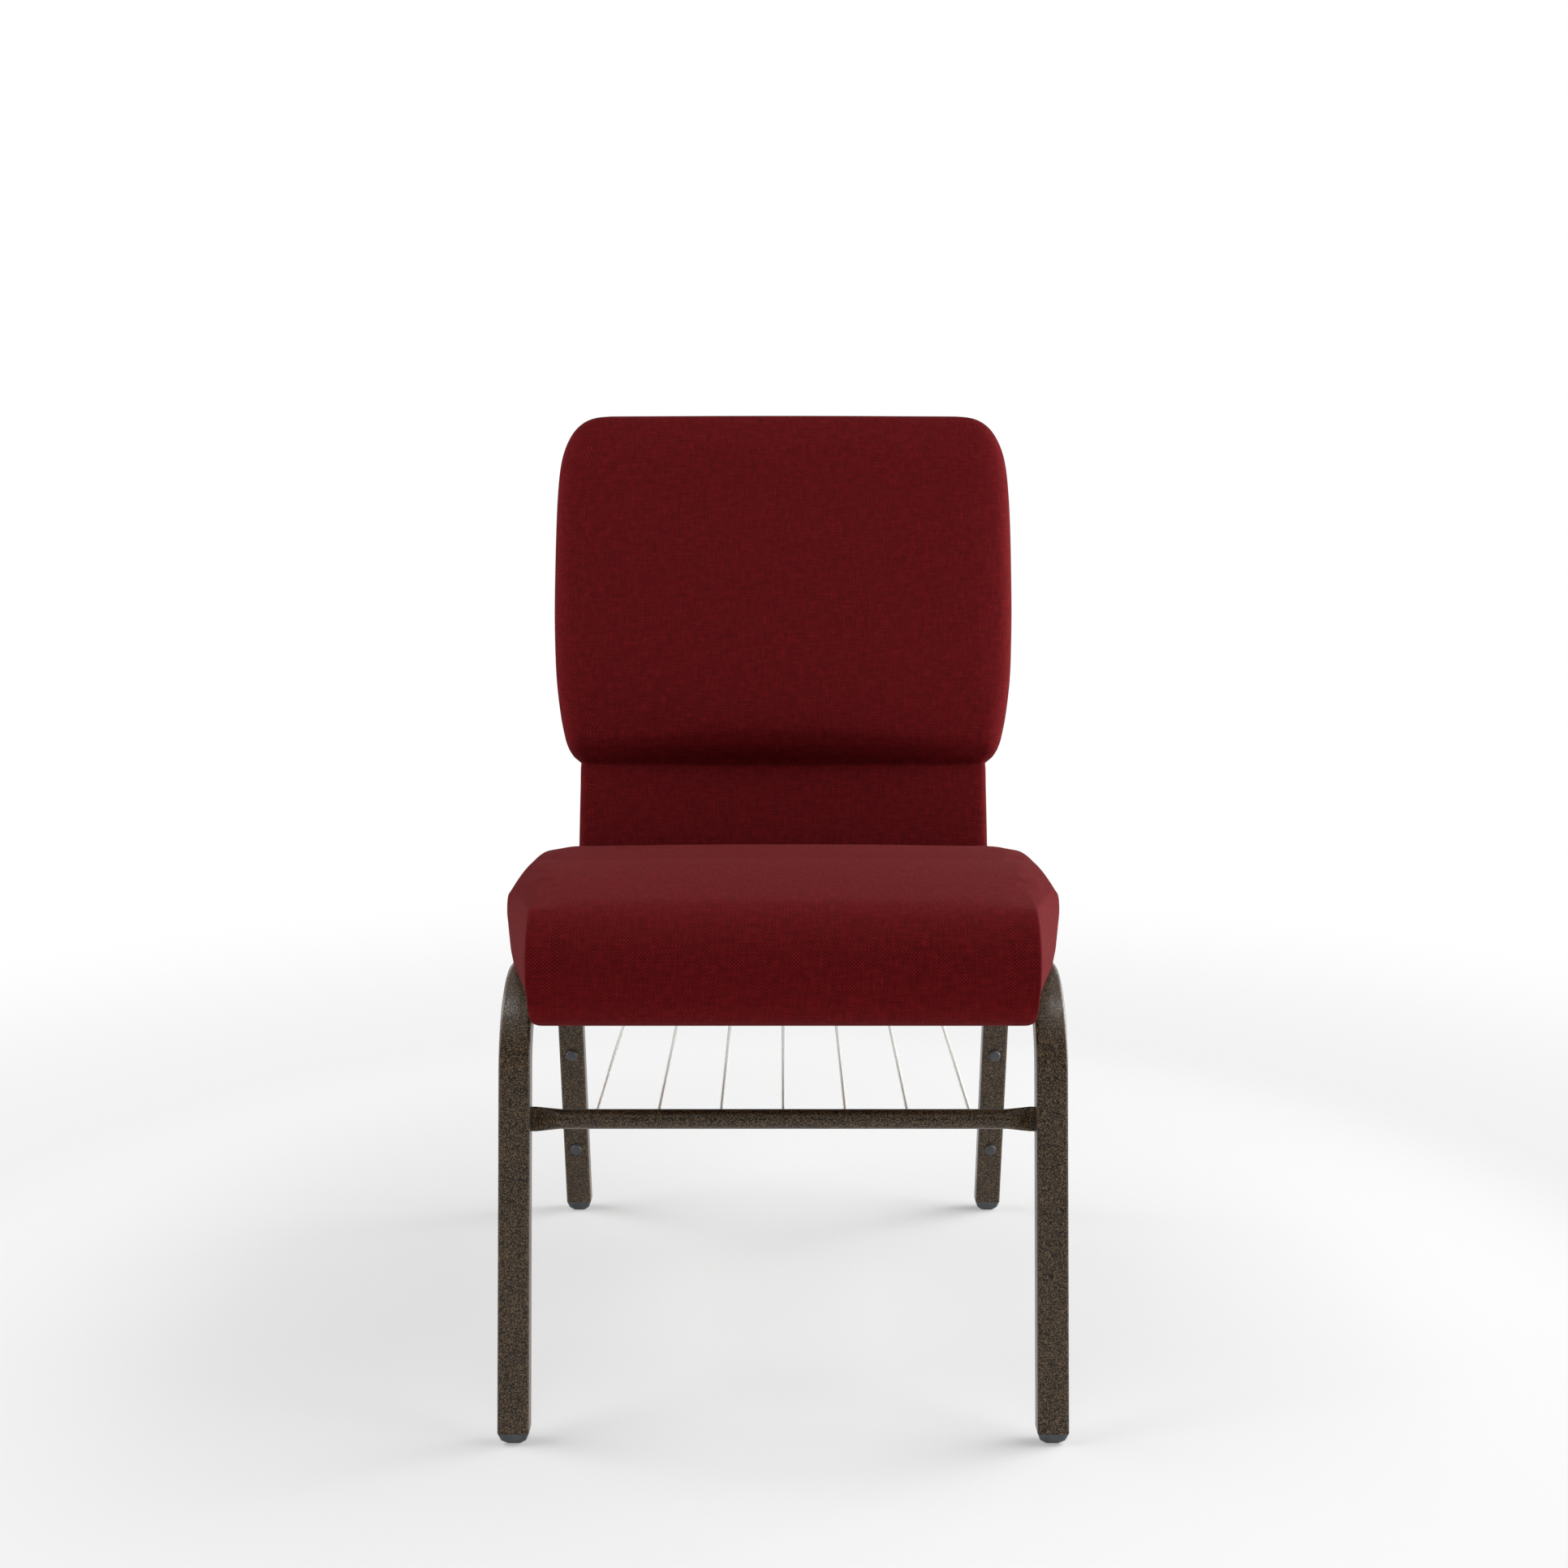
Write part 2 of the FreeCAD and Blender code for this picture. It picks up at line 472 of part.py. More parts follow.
def rack_tube(label, y, height, axis, lean):
    """Round tube along X, flattened, rounded and drilled at both ends."""
    radius, wall = number("rack_tube/2"), number("rack_wall")
    flat_start = number(f"{INNER_X} - flare_gap")
    round_end = flat_start - number("flare_length")
    tip = number(f"{FRAME_X} + tab_reach")
    half_high, half_thick = number("tab_height/2"), number("tab_thickness/2")
    across = Vector(1, 0, 0)

    def round_outline(x):
        """Circle in four arcs that pair up with the sides of the flat outline."""
        marks = [Vector(x, radius * math.sin(turn), radius * math.cos(turn))
                 for turn in (math.radians(15 + 30 * step) for step in range(12))]
        corners = (marks[11], marks[0], marks[5], marks[6])
        tops = (Vector(x, 0, radius), Vector(x, radius, 0), Vector(x, 0, -radius), Vector(x, -radius, 0))
        edges = [Part.Arc(corners[i], tops[i], corners[(i + 1) % 4]).toShape() for i in range(4)]
        return Part.Wire(edges)

    def flat_outline(x):
        straight = half_high - half_thick
        corners = (Vector(x, -half_thick, straight), Vector(x, half_thick, straight),
                   Vector(x, half_thick, -straight), Vector(x, -half_thick, -straight))
        edges = (Part.Arc(corners[0], Vector(x, 0, half_high), corners[1]).toShape(),
                 Part.LineSegment(corners[1], corners[2]).toShape(),
                 Part.Arc(corners[2], Vector(x, 0, -half_high), corners[3]).toShape(),
                 Part.LineSegment(corners[3], corners[0]).toShape())
        return Part.Wire(edges)

    shape = Part.makeCylinder(radius, 2 * round_end, Vector(-round_end, 0, 0), across)
    shape = shape.cut(Part.makeCylinder(radius - wall, 2 * round_end, Vector(-round_end, 0, 0), across))
    for side in (-1, 1):
        flare = Part.makeLoft([round_outline(side * round_end), flat_outline(side * flat_start)], True, True)
        tab = Part.Face(flat_outline(side * flat_start)).extrude(across * side * (tip - flat_start))
        shape = shape.fuse([flare, tab])
    corner = number("tab_corner")
    blank = Part.makeBox(2 * tip, 4 * radius, 2 * half_high, Vector(-tip, -2 * radius, -half_high))
    upright = [edge for edge in blank.Edges if edge.BoundBox.YLength > 3 * radius]
    shape = shape.common(blank.makeFillet(corner, upright))
    for side in (-1, 1):
        hole = Part.makeCylinder(number("screw_shank/2 + fit_clearance"), 4 * radius,
                                 Vector(side * number(FRAME_X), -2 * radius, 0), Vector(0, 1, 0))
        shape = shape.cut(hole)
    item = doc.addObject("Part::Feature", label)
    item.Label = label
    item.Shape = shape.removeSplitter()
    place(item, y=y, z=height, axis=axis, angle=lean)
    return item


def rack_wire(label, index):
    """Straight wire between the facing sides of the two tubes."""
    wire = doc.addObject("Part::Cylinder", label)
    wire.Label = label
    run = f"({REAR_TAB_Y} - {FRONT_TAB_Y})"
    fall = f"atan((rack_front_height - rack_rear_height)/{run})"
    bind(wire, "Radius", "wire_diameter/2")
    bind(wire, "Height", f"{run}/cos({fall}) - rack_tube")
    place(wire, x=f"{index}*wire_pitch", y=f"{FRONT_TAB_Y} + rack_tube/2*cos({fall})",
          z=f"rack_front_height - rack_tube/2*sin({fall})", axis=TOWARD_BACK, angle=f"90 deg + {fall}")
    return wire


def rack_screw(label, side, y, height, axis, angle):
    """Pan-head screw with a cross recess, head toward its own +Z."""
    body = new_body(label)
    head_outline = new_sketch(body, "XY_Plane", label + "_head_outline")
    circle(head_outline, "screw_head")
    head = extrude(body, "Pad", head_outline, "screw_head_height", label + "_head")
    rim = number("screw_head_height") - 0.001
    round_edges(body, head, "screw_head_height*0.6", label + "_pan", lambda edge: edge.BoundBox.ZMin > rim)
    shank_outline = new_sketch(body, "XY_Plane", label + "_shank_outline")
    circle(shank_outline, "screw_shank")
    extrude(body, "Pad", shank_outline, "screw_length", label + "_shank", reverse=True)
    recess = new_sketch(body, "XY_Plane", label + "_recess_outline", lift="screw_head_height")
    near, far = "recess_width/2", "recess_length/2"
    right = [(near, far), (near, near), (far, near)]
    right += [(x, f"-{y}") for x, y in reversed(right)]
    left = [(f"-{x}", y) for x, y in reversed(right)]
    polygon(recess, right + left)
    extrude(body, "Pocket", recess, "recess_depth", label + "_recess")
    place(body, x=f"{side}*{FRAME_X}", y=y, z=height, axis=axis, angle=angle)
    return body


def rack_screws():
    """The heads stand on the free faces of the flattened tube ends."""
    behind_front = f"{FRONT_TAB_Y} + tab_thickness/2*cos(front_leg_lean)"
    behind_front_z = "rack_front_height - tab_thickness/2*sin(front_leg_lean)"
    before_rear = f"{REAR_TAB_Y} - tab_thickness/2*cos(rear_leg_lean)"
    before_rear_z = "rack_rear_height - tab_thickness/2*sin(rear_leg_lean)"
    screws = []
    for name, side in (("left", -1), ("right", 1)):
        screws.append(rack_screw(f"rack_screw_front_{name}", side, behind_front, behind_front_z,
                                 TOWARD_BACK, "90 + front_leg_lean"))
        screws.append(rack_screw(f"rack_screw_rear_{name}", side, before_rear, before_rear_z,
                                 TOWARD_FRONT, "90 + rear_leg_lean"))
    return group("rack_screws", screws)


# Cross tubes and back posts

def cross_rail(label, where, bolt_place):
    body = new_body(label)
    outline = new_sketch(body, "YZ_Plane", label + "_outline")
    hollow_tube_outline(outline, "tube_face", "tube_depth", x=where, y="-board_thickness - tube_depth/2")
    extrude(body, "Pad", outline, f"2*{INNER_X}", label + "_tube", symmetric=True)
    holes = new_sketch(body, "XY_Plane", label + "_bolt_holes")
    for side in (-1, 1):
        circle(holes, "bolt_diameter + 2*fit_clearance", x=f"{side}*bolt_spread/2", y=bolt_place)
    extrude(body, "Pocket", holes, "2*(board_thickness + tube_depth)", label + "_drilling", symmetric=True)
    place_on_seat(body)
    return body


def back_post(label, side):
    body = new_body(label)
    outline = new_sketch(body, "XY_Plane", label + "_outline", lift="post_bottom")
    hollow_tube_outline(outline, "tube_face", "tube_depth", y="tube_depth/2")
    extrude(body, "Pad", outline, "post_top - post_bottom", label + "_tube")
    holes = new_sketch(body, "XZ_Plane", label + "_screw_holes")
    for height in ("back_screw_low", "back_screw_high"):
        circle(holes, "back_screw_shank + 2*fit_clearance", y=height)
    extrude(body, "Pocket", holes, "4*tube_depth", label + "_drilling", symmetric=True)
    place_on_back(body, x=f"{side}*{POST_X}")
    return body


# Seat

FRONT_BOLT = "front_rail_place"
REAR_BOLT = "(rear_rail_place - rear_bolt_inset)"
BOLT_PLACES = [(side, place_text) for side in (-1, 1) for place_text in (FRONT_BOLT, REAR_BOLT)]


def seat_board():
    body = new_body("seat_board")
    outline = new_sketch(body, "XY_Plane", "seat_board_outline")
    rounded_rectangle(outline, f"2*({INNER_X} - board_side_gap)", "board_rear - board_front",
                      "board_corner", y="(board_front + board_rear)/2")
    extrude(body, "Pad", outline, "board_thickness", "seat_board_sheet", reverse=True)
    bores = new_sketch(body, "XY_Plane", "seat_board_bores")
    sinks = new_sketch(body, "XY_Plane", "seat_board_sinks")
    for side, where in BOLT_PLACES:
        circle(bores, "nut_barrel + 2*fit_clearance", x=f"{side}*bolt_spread/2", y=where)
        circle(sinks, "nut_flange + 2*fit_clearance", x=f"{side}*bolt_spread/2", y=where)
    extrude(body, "Pocket", bores, "2*board_thickness", "seat_board_drilling", symmetric=True)
    extrude(body, "Pocket", sinks, "nut_flange_thickness", "seat_board_flange_seats")
    place_on_seat(body)
    return body


def seat_dust_cover():
    body = new_body("seat_dust_cover")
    outline = new_sketch(body, "XY_Plane", "seat_dust_cover_outline", lift="-board_thickness")
    start = "(front_rail_place + tube_face/2 + soft_gap)"
    end = "(rear_rail_place - tube_face/2 - soft_gap)"
    rounded_rectangle(outline, f"2*({INNER_X} - board_side_gap)", f"{end} - {start}", "tube_corner",
                      y=f"({start} + {end})/2")
    extrude(body, "Pad", outline, "dust_thickness", "seat_dust_cover_sheet", reverse=True)
    place_on_seat(body)
    return body


def seat_bolt(label, side, where):
    """Round-head bolt from below, through the cross tube into the tee nut."""
    body = new_body(label)
    under_tube = "-board_thickness - tube_depth"
    head_outline = new_sketch(body, "XY_Plane", label + "_head_outline", lift=under_tube)
    circle(head_outline, "bolt_head", x=f"{side}*bolt_spread/2", y=where)
    head = extrude(body, "Pad", head_outline, "bolt_head_height", label + "_head", reverse=True)
    low = head.Shape.BoundBox.ZMin + 0.001
    round_edges(body, head, "bolt_head_height/2", label + "_round", lambda edge: edge.BoundBox.ZMax < low)
    shank_outline = new_sketch(body, "XY_Plane", label + "_shank_outline", lift=under_tube)
    circle(shank_outline, "bolt_diameter", x=f"{side}*bolt_spread/2", y=where)
    shank = "board_thickness + tube_depth - nut_flange_thickness"
    extrude(body, "Pad", shank_outline, shank, label + "_shank")
    place_on_seat(body)
    return body


def tee_nut(label, side, where):
    """Flanged nut let into the top of the seat board."""
    body = new_body(label)
    x = f"{side}*bolt_spread/2"
    flange_outline = new_sketch(body, "XY_Plane", label + "_flange_outline")
    circle(flange_outline, "nut_flange", x=x, y=where)
    extrude(body, "Pad", flange_outline, "nut_flange_thickness", label + "_flange", reverse=True)
    barrel_outline = new_sketch(body, "XY_Plane", label + "_barrel_outline")
    circle(barrel_outline, "nut_barrel", x=x, y=where)
    extrude(body, "Pad", barrel_outline, "nut_length", label + "_barrel", reverse=True)
    bore_outline = new_sketch(body, "XY_Plane", label + "_bore_outline")
    circle(bore_outline, "bolt_diameter + fit_clearance", x=x, y=where)
    extrude(body, "Pocket", bore_outline, "2*nut_length", label + "_bore", symmetric=True)
    place_on_seat(body)
    return body


def chain(steps):
    """Closed wire: each step is an end point, or a point to pass and an end point."""
    edges = []
    here = steps[-1][-1]
    for step in steps:
        if len(step) == 2:
            edges.append(Part.Arc(here, step[0], step[1]).toShape())
        else:
            edges.append(Part.LineSegment(here, step[0]).toShape())
        here = step[-1]
    return Part.Wire(edges)


def seat_profile(x, front, rear, low, high):
    """Side outline of the cushion at one place across its width."""
    rise = high - low
    span = rear - front

    def at(along, up):
        return Vector(x, along, low + up * rise)

    top_front = front + 0.498 * rise
    top_rear = rear - 0.23 * rise
    middle = front + 0.59 * span
    return chain((
        (at(front + NOSE_FOOT * rise, 0),),
        (at(front + 0.0131 * rise, 0.1326), at(front, 0.27)),
        (at(front + 0.14 * rise, 0.6655), at(top_front, 0.885)),
        (at(top_front + 0.42 * (middle - top_front), 0.985), at(middle, 1)),
        (at(middle + 0.55 * (top_rear - middle), 0.981), at(top_rear, 0.92)),
        (at(rear, 0.46), at(rear - 0.11 * rise, 0)),
    ))


def roll_profile(x, front, low, lift, inset):
    """Side outline of the roll below the rails, its underside lifted near the ends."""
    bottom = Vector(x, number("roll_bottom_place"), inset + lift - number("roll_bottom"))
    tail = Vector(x, number("roll_tail_place") - inset, inset + lift * 0.6 - number("roll_tail"))
    lap = low + number("roll_lap")
    curve = Vector(x, front + 0.24 * (bottom.y - front), low + 0.7 * (bottom.z - low))
    return chain((
        (Vector(x, front, low),),
        (curve, bottom),
        (tail,),
        (Vector(x, tail.y, lap),),
        (Vector(x, front + number("roll_lap_setback"), lap),),
    ))


# Cushion sides from the wing's root to its widest line: share of the wing's width,
# underside and top as shares of the edge height, and share of the rear corner's setback
SEAT_WING = (
    (0.0, 0.0, 1.0, 0.0),
    (0.32, 0.0, 0.99, 0.0),
    (0.6, 0.0, 0.97, 0.11),
    (0.83, 0.14, 0.935, 0.36),
    (0.96, 0.38, 0.868, 0.71),
    (1.0, 0.52, 0.775, 1.0),
)
# Middle of the cushion: share of the roll's half width, share of the crown
SEAT_MIDDLE = ((0.0, 1.0), (0.35, 0.88), (0.68, 0.54))
# End of the roll: distance from the end and lift of the underside, as shares of the end's rounding
ROLL_END = ((0.0, 0.8), (0.3, 0.3), (1.0, 0.0))
# Foot of the cushion's nose behind its front, as a share of the cushion's height
NOSE_FOOT = 0.0526


def seat_form(inset):
    """Whole cushion, drawn in by an inset on every side."""
    low = number("soft_gap") + inset
    edge = number("seat_edge_height")
    crown = number("seat_crown")
    roll_half = number(f"{INNER_X} - seat_roll_gap")
    wing = number("frame_width/2 + seat_overhang") - roll_half
    front = number("seat_front") + inset
    rear = number("seat_rear") - inset
    side_front = number("seat_side_front")
    half_profiles = []
    for share, lift in SEAT_MIDDLE:
        half_profiles.append((share * (roll_half - inset), front, rear, low, edge + crown * lift - inset))
    for share, under, top, setback in SEAT_WING:
        start = front + (side_front - number("seat_front")) * share
        end = rear - setback * number("seat_corner_setback")
        x = roll_half - inset + wing * share
        half_profiles.append((x, start, end, low + under * edge, top * edge - inset))
    left = [(-x, *rest) for x, *rest in reversed(half_profiles[1:])]
    profiles = [seat_profile(*values) for values in left + half_profiles]
    upper = Part.makeLoft(profiles, True, True)
    turn = number("roll_end_round")
    roll_places = [(along * turn - roll_half + inset, lift * turn) for along, lift in ROLL_END]
    roll_places += [(-x, lift) for x, lift in reversed(roll_places)]
    nose = front + NOSE_FOOT * edge
    roll = Part.makeLoft([roll_profile(x, nose, low, lift, inset) for x, lift in roll_places], True, True)
    return upper.fuse(roll).removeSplitter()


def upholstery(label, shape, placer):
    item = doc.addObject("Part::Feature", label)
    item.Label = label
    item.Shape = shape
    placer(item)
    return item


def seat_upholstery():
    """Foam with a groove around the board's front, and the cover around it."""
    gap = number("soft_gap")
    half = number(f"{INNER_X}")
    thick = number("board_thickness")
    start, end = number("board_front") - gap, number("board_rear")
    board_space = Part.makeBox(2 * half, end - start, thick + 2 * gap, Vector(-half, start, -thick - gap))
    outer = seat_form(0)
    inner = seat_form(number("cover_thickness"))
    foam = inner.cut(board_space)
    cover = outer.cut(inner).cut(board_space)
    return upholstery("seat_foam", foam, place_on_seat), upholstery("seat_cover", cover, place_on_seat)


# Back

# Upper back above the crease: rise as a share of the swell's height, then shares of the full width,
# of the full depth in front, and of the rear face's step
BACK_SWELL = (
    (0.04, 0.26, 0.43, 0.0),
    (0.08, 0.4, 0.73, 0.55),
    (0.14, 0.54, 0.92, 1.0),
    (0.27, 0.7, 1.0, 1.0),
    (0.53, 0.9, 1.0, 1.0),
)
# Rim levels of a rounding, from its start to the rim, as shares of its height
RIM_LEVELS = (0.0, 0.82, 1.0)
CORNER_LEVELS = (0.0, 0.37, 0.58, 0.73, 0.85, 0.94, 0.99, 1.0)
# Roundings are a little fuller than an ellipse, whose power is 2
FULLNESS = 2.6


def drawn_in(share, amount):
    """How far a rounding is drawn in, at a share of its height toward the rim."""
    return amount * (1 - (1 - max(share, 0) ** FULLNESS) ** (1 / FULLNESS))


def between(share, start, end):
    return start + share * (end - start)


def back_outline(height, half, rear_half, rear, edge, crown, radius):
    """Outline of the back across its width at one height along the posts."""
    equator = edge - radius
    shoulder = -0.35 * equator
    bulge = number("flank_bulge")

    def at(x, depth):
        return Vector(x, depth, height)

    nook = (1 - math.sqrt(0.5)) * radius
    middle = -(shoulder + equator) / 2
    return chain((
        (at(rear_half, rear),),
        (at(half - bulge, -shoulder),),
        (at(half - 0.3 * bulge, middle), at(half, -equator)),
        (at(half - nook, -edge + nook), at(half - radius, -edge)),
        (at(0, -crown), at(radius - half, -edge)),
        (at(nook - half, -edge + nook), at(-half, -equator)),
        (at(0.3 * bulge - half, middle), at(bulge - half, -shoulder)),
        (at(-rear_half, rear),),
    ))


def back_form(inset):
    """Whole upholstered back, drawn in by an inset on every side."""
    bottom, waist, top = number("back_bottom") + inset, number("back_waist"), number("back_top") - inset
    low_half, high_half = number(WAIST_HALF) - inset, number(BACK_HALF) - inset
    low_rear, high_rear = low_half - number("flank_draw"), number(PANEL_HALF) - inset
    near, far = -number("soft_gap") - inset, number("back_rear_depth") - inset
    low_crown = number("back_lower_depth") - inset
    low_edge = low_crown - number("back_lower_crown")
    edge, crown = number("back_edge_depth") - inset, number("back_crown_depth") - inset
    lumbar = number("lumbar_depth") - inset
    low_radius, radius = number("back_lower_radius"), number("back_edge_radius")
    # Each level: height, half width, half width and depth of the rear face, edge, crown, edge radius
    levels = []
    for share in reversed(RIM_LEVELS):
        draw = drawn_in(share, number("back_lower_round"))
        height = bottom + (1 - share) * number("back_lower_round_height")
        levels.append((height, low_half - draw, low_rear - draw,
                       near, low_edge - draw, low_crown - draw, low_radius))
    for share in RIM_LEVELS:
        draw = drawn_in(share, number("crease_depth"))
        levels.append((waist - (1 - share) * number("crease_height"), low_half, low_rear,
                       near, low_edge - draw, low_crown - draw, low_radius))
    crease_edge, crease_crown = low_edge - number("crease_depth"), low_crown - number("crease_depth")
    for rise, width, depth, step in BACK_SWELL:
        levels.append((waist + rise * number("swell_height"), between(width, low_half, high_half),
                       between(step, low_rear, high_rear), between(step, near, far),
                       between(depth, crease_edge, edge), between(depth, crease_crown, lumbar),
                       between(depth, low_radius, radius)))
    full_width_height = waist + number("swell_height")
    levels.append((full_width_height, high_half, high_rear, far, edge, (lumbar + crown) / 2, radius))
    corner = number("back_corner_height")
    for share in CORNER_LEVELS:
        below = (1 - share) * corner
        front_share = 1 - below / number("top_front_height")
        rear_share = 1 - below / number("top_rear_height")
        levels.append((top - below, high_half - drawn_in(share, number("back_corner_width")),
                       high_rear - drawn_in(share, number("panel_corner_width")),
                       far - drawn_in(rear_share, number("top_rear_draw")),
                       edge - drawn_in(front_share, number("top_edge_draw")),
                       crown - drawn_in(front_share, number("top_front_draw")),
                       radius - drawn_in(rear_share, radius - number("top_edge_radius"))))
    return Part.makeLoft([back_outline(*level) for level in levels], True, True)


BACK_BOARD_FRONT = "-(soft_gap + cover_thickness + back_board_thickness)"


def back_upholstery():
    """Foam in front of the board, and the cover around foam, board, posts and panel."""
    gap = number("soft_gap")
    reach = number("back_top")
    outer = back_form(0)
    inner = back_form(number("cover_thickness"))
    board_front = number(BACK_BOARD_FRONT) - gap
    behind = Part.makeBox(2 * reach, reach, 2 * reach, Vector(-reach, board_front, 0))
    foam = inner.cut(behind)
    cover = outer.cut(inner)
    face, depth = number("tube_face") + 2 * gap, number("tube_depth") + 2 * gap
    hole_radius = number("back_screw_shank/2 + fit_clearance")
    for side in (-1, 1):
        corner = Vector(side * number(POST_X) - face / 2, -gap / 2, 0)
        cover = cover.cut(Part.makeBox(face, depth, number("post_top"), corner))
        for height in ("back_screw_low", "back_screw_high"):
            start = Vector(side * number(POST_X), board_front, number(height))
            cover = cover.cut(Part.makeCylinder(hole_radius, 2 * depth, start, Vector(0, 1, 0)))
    return upholstery("back_foam", foam, place_on_back), upholstery("back_cover", cover, place_on_back)


def back_board():
    """Plywood, narrow below the waist and wide above it."""
    body = new_body("back_board")
    outline = new_sketch(body, "XZ_Plane", "back_board_outline", lift="soft_gap + cover_thickness")
    low_half, high_half = f"({WAIST_HALF} - lower_board_edge)", f"({BACK_HALF} - upper_board_edge)"
    low, top = "(back_bottom + lower_board_edge)", "(back_top - upper_board_edge)"
    right = ((low_half, low), (low_half, "back_waist + 0.08*swell_height"),
             (high_half, "back_waist + 0.6*swell_height"), (high_half, f"{top} - back_board_corner"),
             (f"{high_half} - back_board_corner", top))
    left = [(f"-({x})", z) for x, z in reversed(right)]
    polygon(outline, (*right, *left))
    extrude(body, "Pad", outline, "back_board_thickness", "back_board_sheet")
    holes = new_sketch(body, "XZ_Plane", "back_board_pilot_holes")
    for side in (-1, 1):
        for height in ("back_screw_low", "back_screw_high"):
            circle(holes, "back_screw_shank", x=f"{side}*{POST_X}", y=height)
    extrude(body, "Pocket", holes, "2*(soft_gap + cover_thickness + back_board_thickness - back_pilot_stop)",
            "back_board_pilots", symmetric=True)
    place_on_back(body)
    return body


def back_rear_panel():
    body = new_body("back_rear_panel")
    outline = new_sketch(body, "XZ_Plane", "back_rear_panel_outline", lift="-tube_depth")
    low, top = "(back_waist + 0.155*swell_height)", "(back_top - panel_top_edge)"
    rounded_rectangle(outline, f"2*({PANEL_HALF} - panel_edge)", f"{top} - {low}", "panel_corner",
                      y=f"({low} + {top})/2")
    extrude(body, "Pad", outline, "panel_thickness", "back_rear_panel_sheet", reverse=True)
    place_on_back(body)
    return body


def back_screw(label, side, height):
    """Screw from behind, through the post and the cover into the board."""
    body = new_body(label)
    head_outline = new_sketch(body, "XZ_Plane", label + "_head_outline", lift="-tube_depth")
    circle(head_outline, "back_screw_head", y=height)
    head = extrude(body, "Pad", head_outline, "screw_head_height", label + "_head", reverse=True)
    back = head.Shape.BoundBox.YMax - 0.001
    round_edges(body, head, "screw_head_height/2", label + "_pan", lambda edge: edge.BoundBox.YMin > back)
    shank_outline = new_sketch(body, "XZ_Plane", label + "_shank_outline", lift="-tube_depth")
    circle(shank_outline, "back_screw_shank", y=height)
    shank = "tube_depth + soft_gap + cover_thickness + back_board_thickness - back_screw_stop"
    extrude(body, "Pad", shank_outline, shank, label + "_shank")
    place_on_back(body, x=f"{side}*{POST_X}")
    return body


# Ganging parts under the rails

def ganging_loop():
    """Flat closed loop, welded under the right rail."""
    body = new_body("ganging_loop")
    outline = new_sketch(body, "XY_Plane", "ganging_loop_outline", lift="-tube_depth")
    outer_edge = "(frame_width/2 + gang_reach)"
    width = "(gang_lap + gang_reach)"
    length = "(gang_rear - gang_front)"
    middle = "(gang_front + gang_rear)/2"
    slot_width = f"({width} - 2*gang_bar)"
    rounded_rectangle(outline, width, length, "2*gang_bar", x=f"{outer_edge} - {width}/2", y=middle)
    rounded_rectangle(outline, slot_width, f"({length} - 2*gang_bar)", "gang_bar",
                      x=f"{outer_edge} - {width}/2", y=middle)
    extrude(body, "Pad", outline, "gang_strip", "ganging_loop_strip", reverse=True)
    place_on_seat(body)
    return body


def ganging_hook():
    """Flat tab with a downturned lip, welded under the left rail."""
    body = new_body("ganging_hook")
    outline = new_sketch(body, "XZ_Plane", "ganging_hook_outline", lift="-gang_front - gang_hook_inset")
    tip = "-(frame_width/2 + gang_reach)"
    root = "-(frame_width/2 - gang_lap)"
    polygon(outline, ((tip, "-tube_depth"), (root, "-tube_depth"), (root, "-tube_depth - gang_strip"),
                      (f"{tip} + gang_strip", "-tube_depth - gang_strip"),
                      (f"{tip} + gang_strip", "-tube_depth - gang_strip - gang_lip"),
                      (tip, "-tube_depth - gang_strip - gang_lip")))
    extrude(body, "Pad", outline, "gang_rear - gang_front - 2*gang_hook_inset", "ganging_hook_strip",
            reverse=True)
    place_on_seat(body)
    return body


# Assembly

SIDES = (("left", -1), ("right", 1))

nodes = [side_frame(f"{name}_side_frame", side) for name, side in SIDES]
nodes.append(cross_rail("front_seat_rail", "front_rail_place", FRONT_BOLT))
nodes.append(cross_rail("rear_seat_rail", "rear_rail_place", REAR_BOLT))
nodes += [back_post(f"{name}_back_post", side) for name, side in SIDES]
for name, side in SIDES:
    nodes.append(glide(f"front_{name}_glide", side, "front_foot", "front_leg_lean", 1))
    nodes.append(glide(f"rear_{name}_glide", side, "rear_foot", "rear_leg_lean", -1))
    nodes.append(bumper(f"{name}_lower_bumper", side, "bumper_low"))
    nodes.append(bumper(f"{name}_upper_bumper", side, "bumper_high"))
nodes.append(rack_tube("rack_front_tube", FRONT_TAB_Y, "rack_front_height", TOWARD_BACK, "front_leg_lean"))
nodes.append(rack_tube("rack_rear_tube", REAR_TAB_Y, "rack_rear_height", TOWARD_FRONT, "rear_leg_lean"))
nodes += [rack_wire(f"rack_wire_{index + 4}", index) for index in range(-3, 4)]
nodes.append(rack_screws())
nodes.append(seat_board())
nodes.append(seat_dust_cover())
nodes.append(group("seat_bolts", [seat_bolt(f"seat_bolt_{index}", *where)
                                  for index, where in enumerate(BOLT_PLACES, start=1)]))
nodes.append(group("seat_tee_nuts", [tee_nut(f"tee_nut_{index}", *where)
                                     for index, where in enumerate(BOLT_PLACES, start=1)]))
nodes += seat_upholstery()
nodes.append(back_board())
nodes.append(back_rear_panel())
nodes.append(group("back_screws", [back_screw(f"back_screw_{name}_{level}", side, f"back_screw_{level}")
                                   for name, side in SIDES for level in ("low", "high")]))
nodes += back_upholstery()
nodes.append(ganging_loop())
nodes.append(ganging_hook())
doc.recompute()

for item in doc.Objects:
    if "Invalid" in item.State or "Error" in item.State:
        raise RuntimeError(f"{item.Name} failed: {item.State}")
os.makedirs("parts", exist_ok=True)
for node in nodes:
    shape = node.Shape
    if shape.isNull() or not shape.isValid() or not shape.Solids:
        raise RuntimeError(f"{node.Label} has no sound solid")
    shape.exportStep(f"parts/{node.Label}.step")
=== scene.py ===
import json
import math

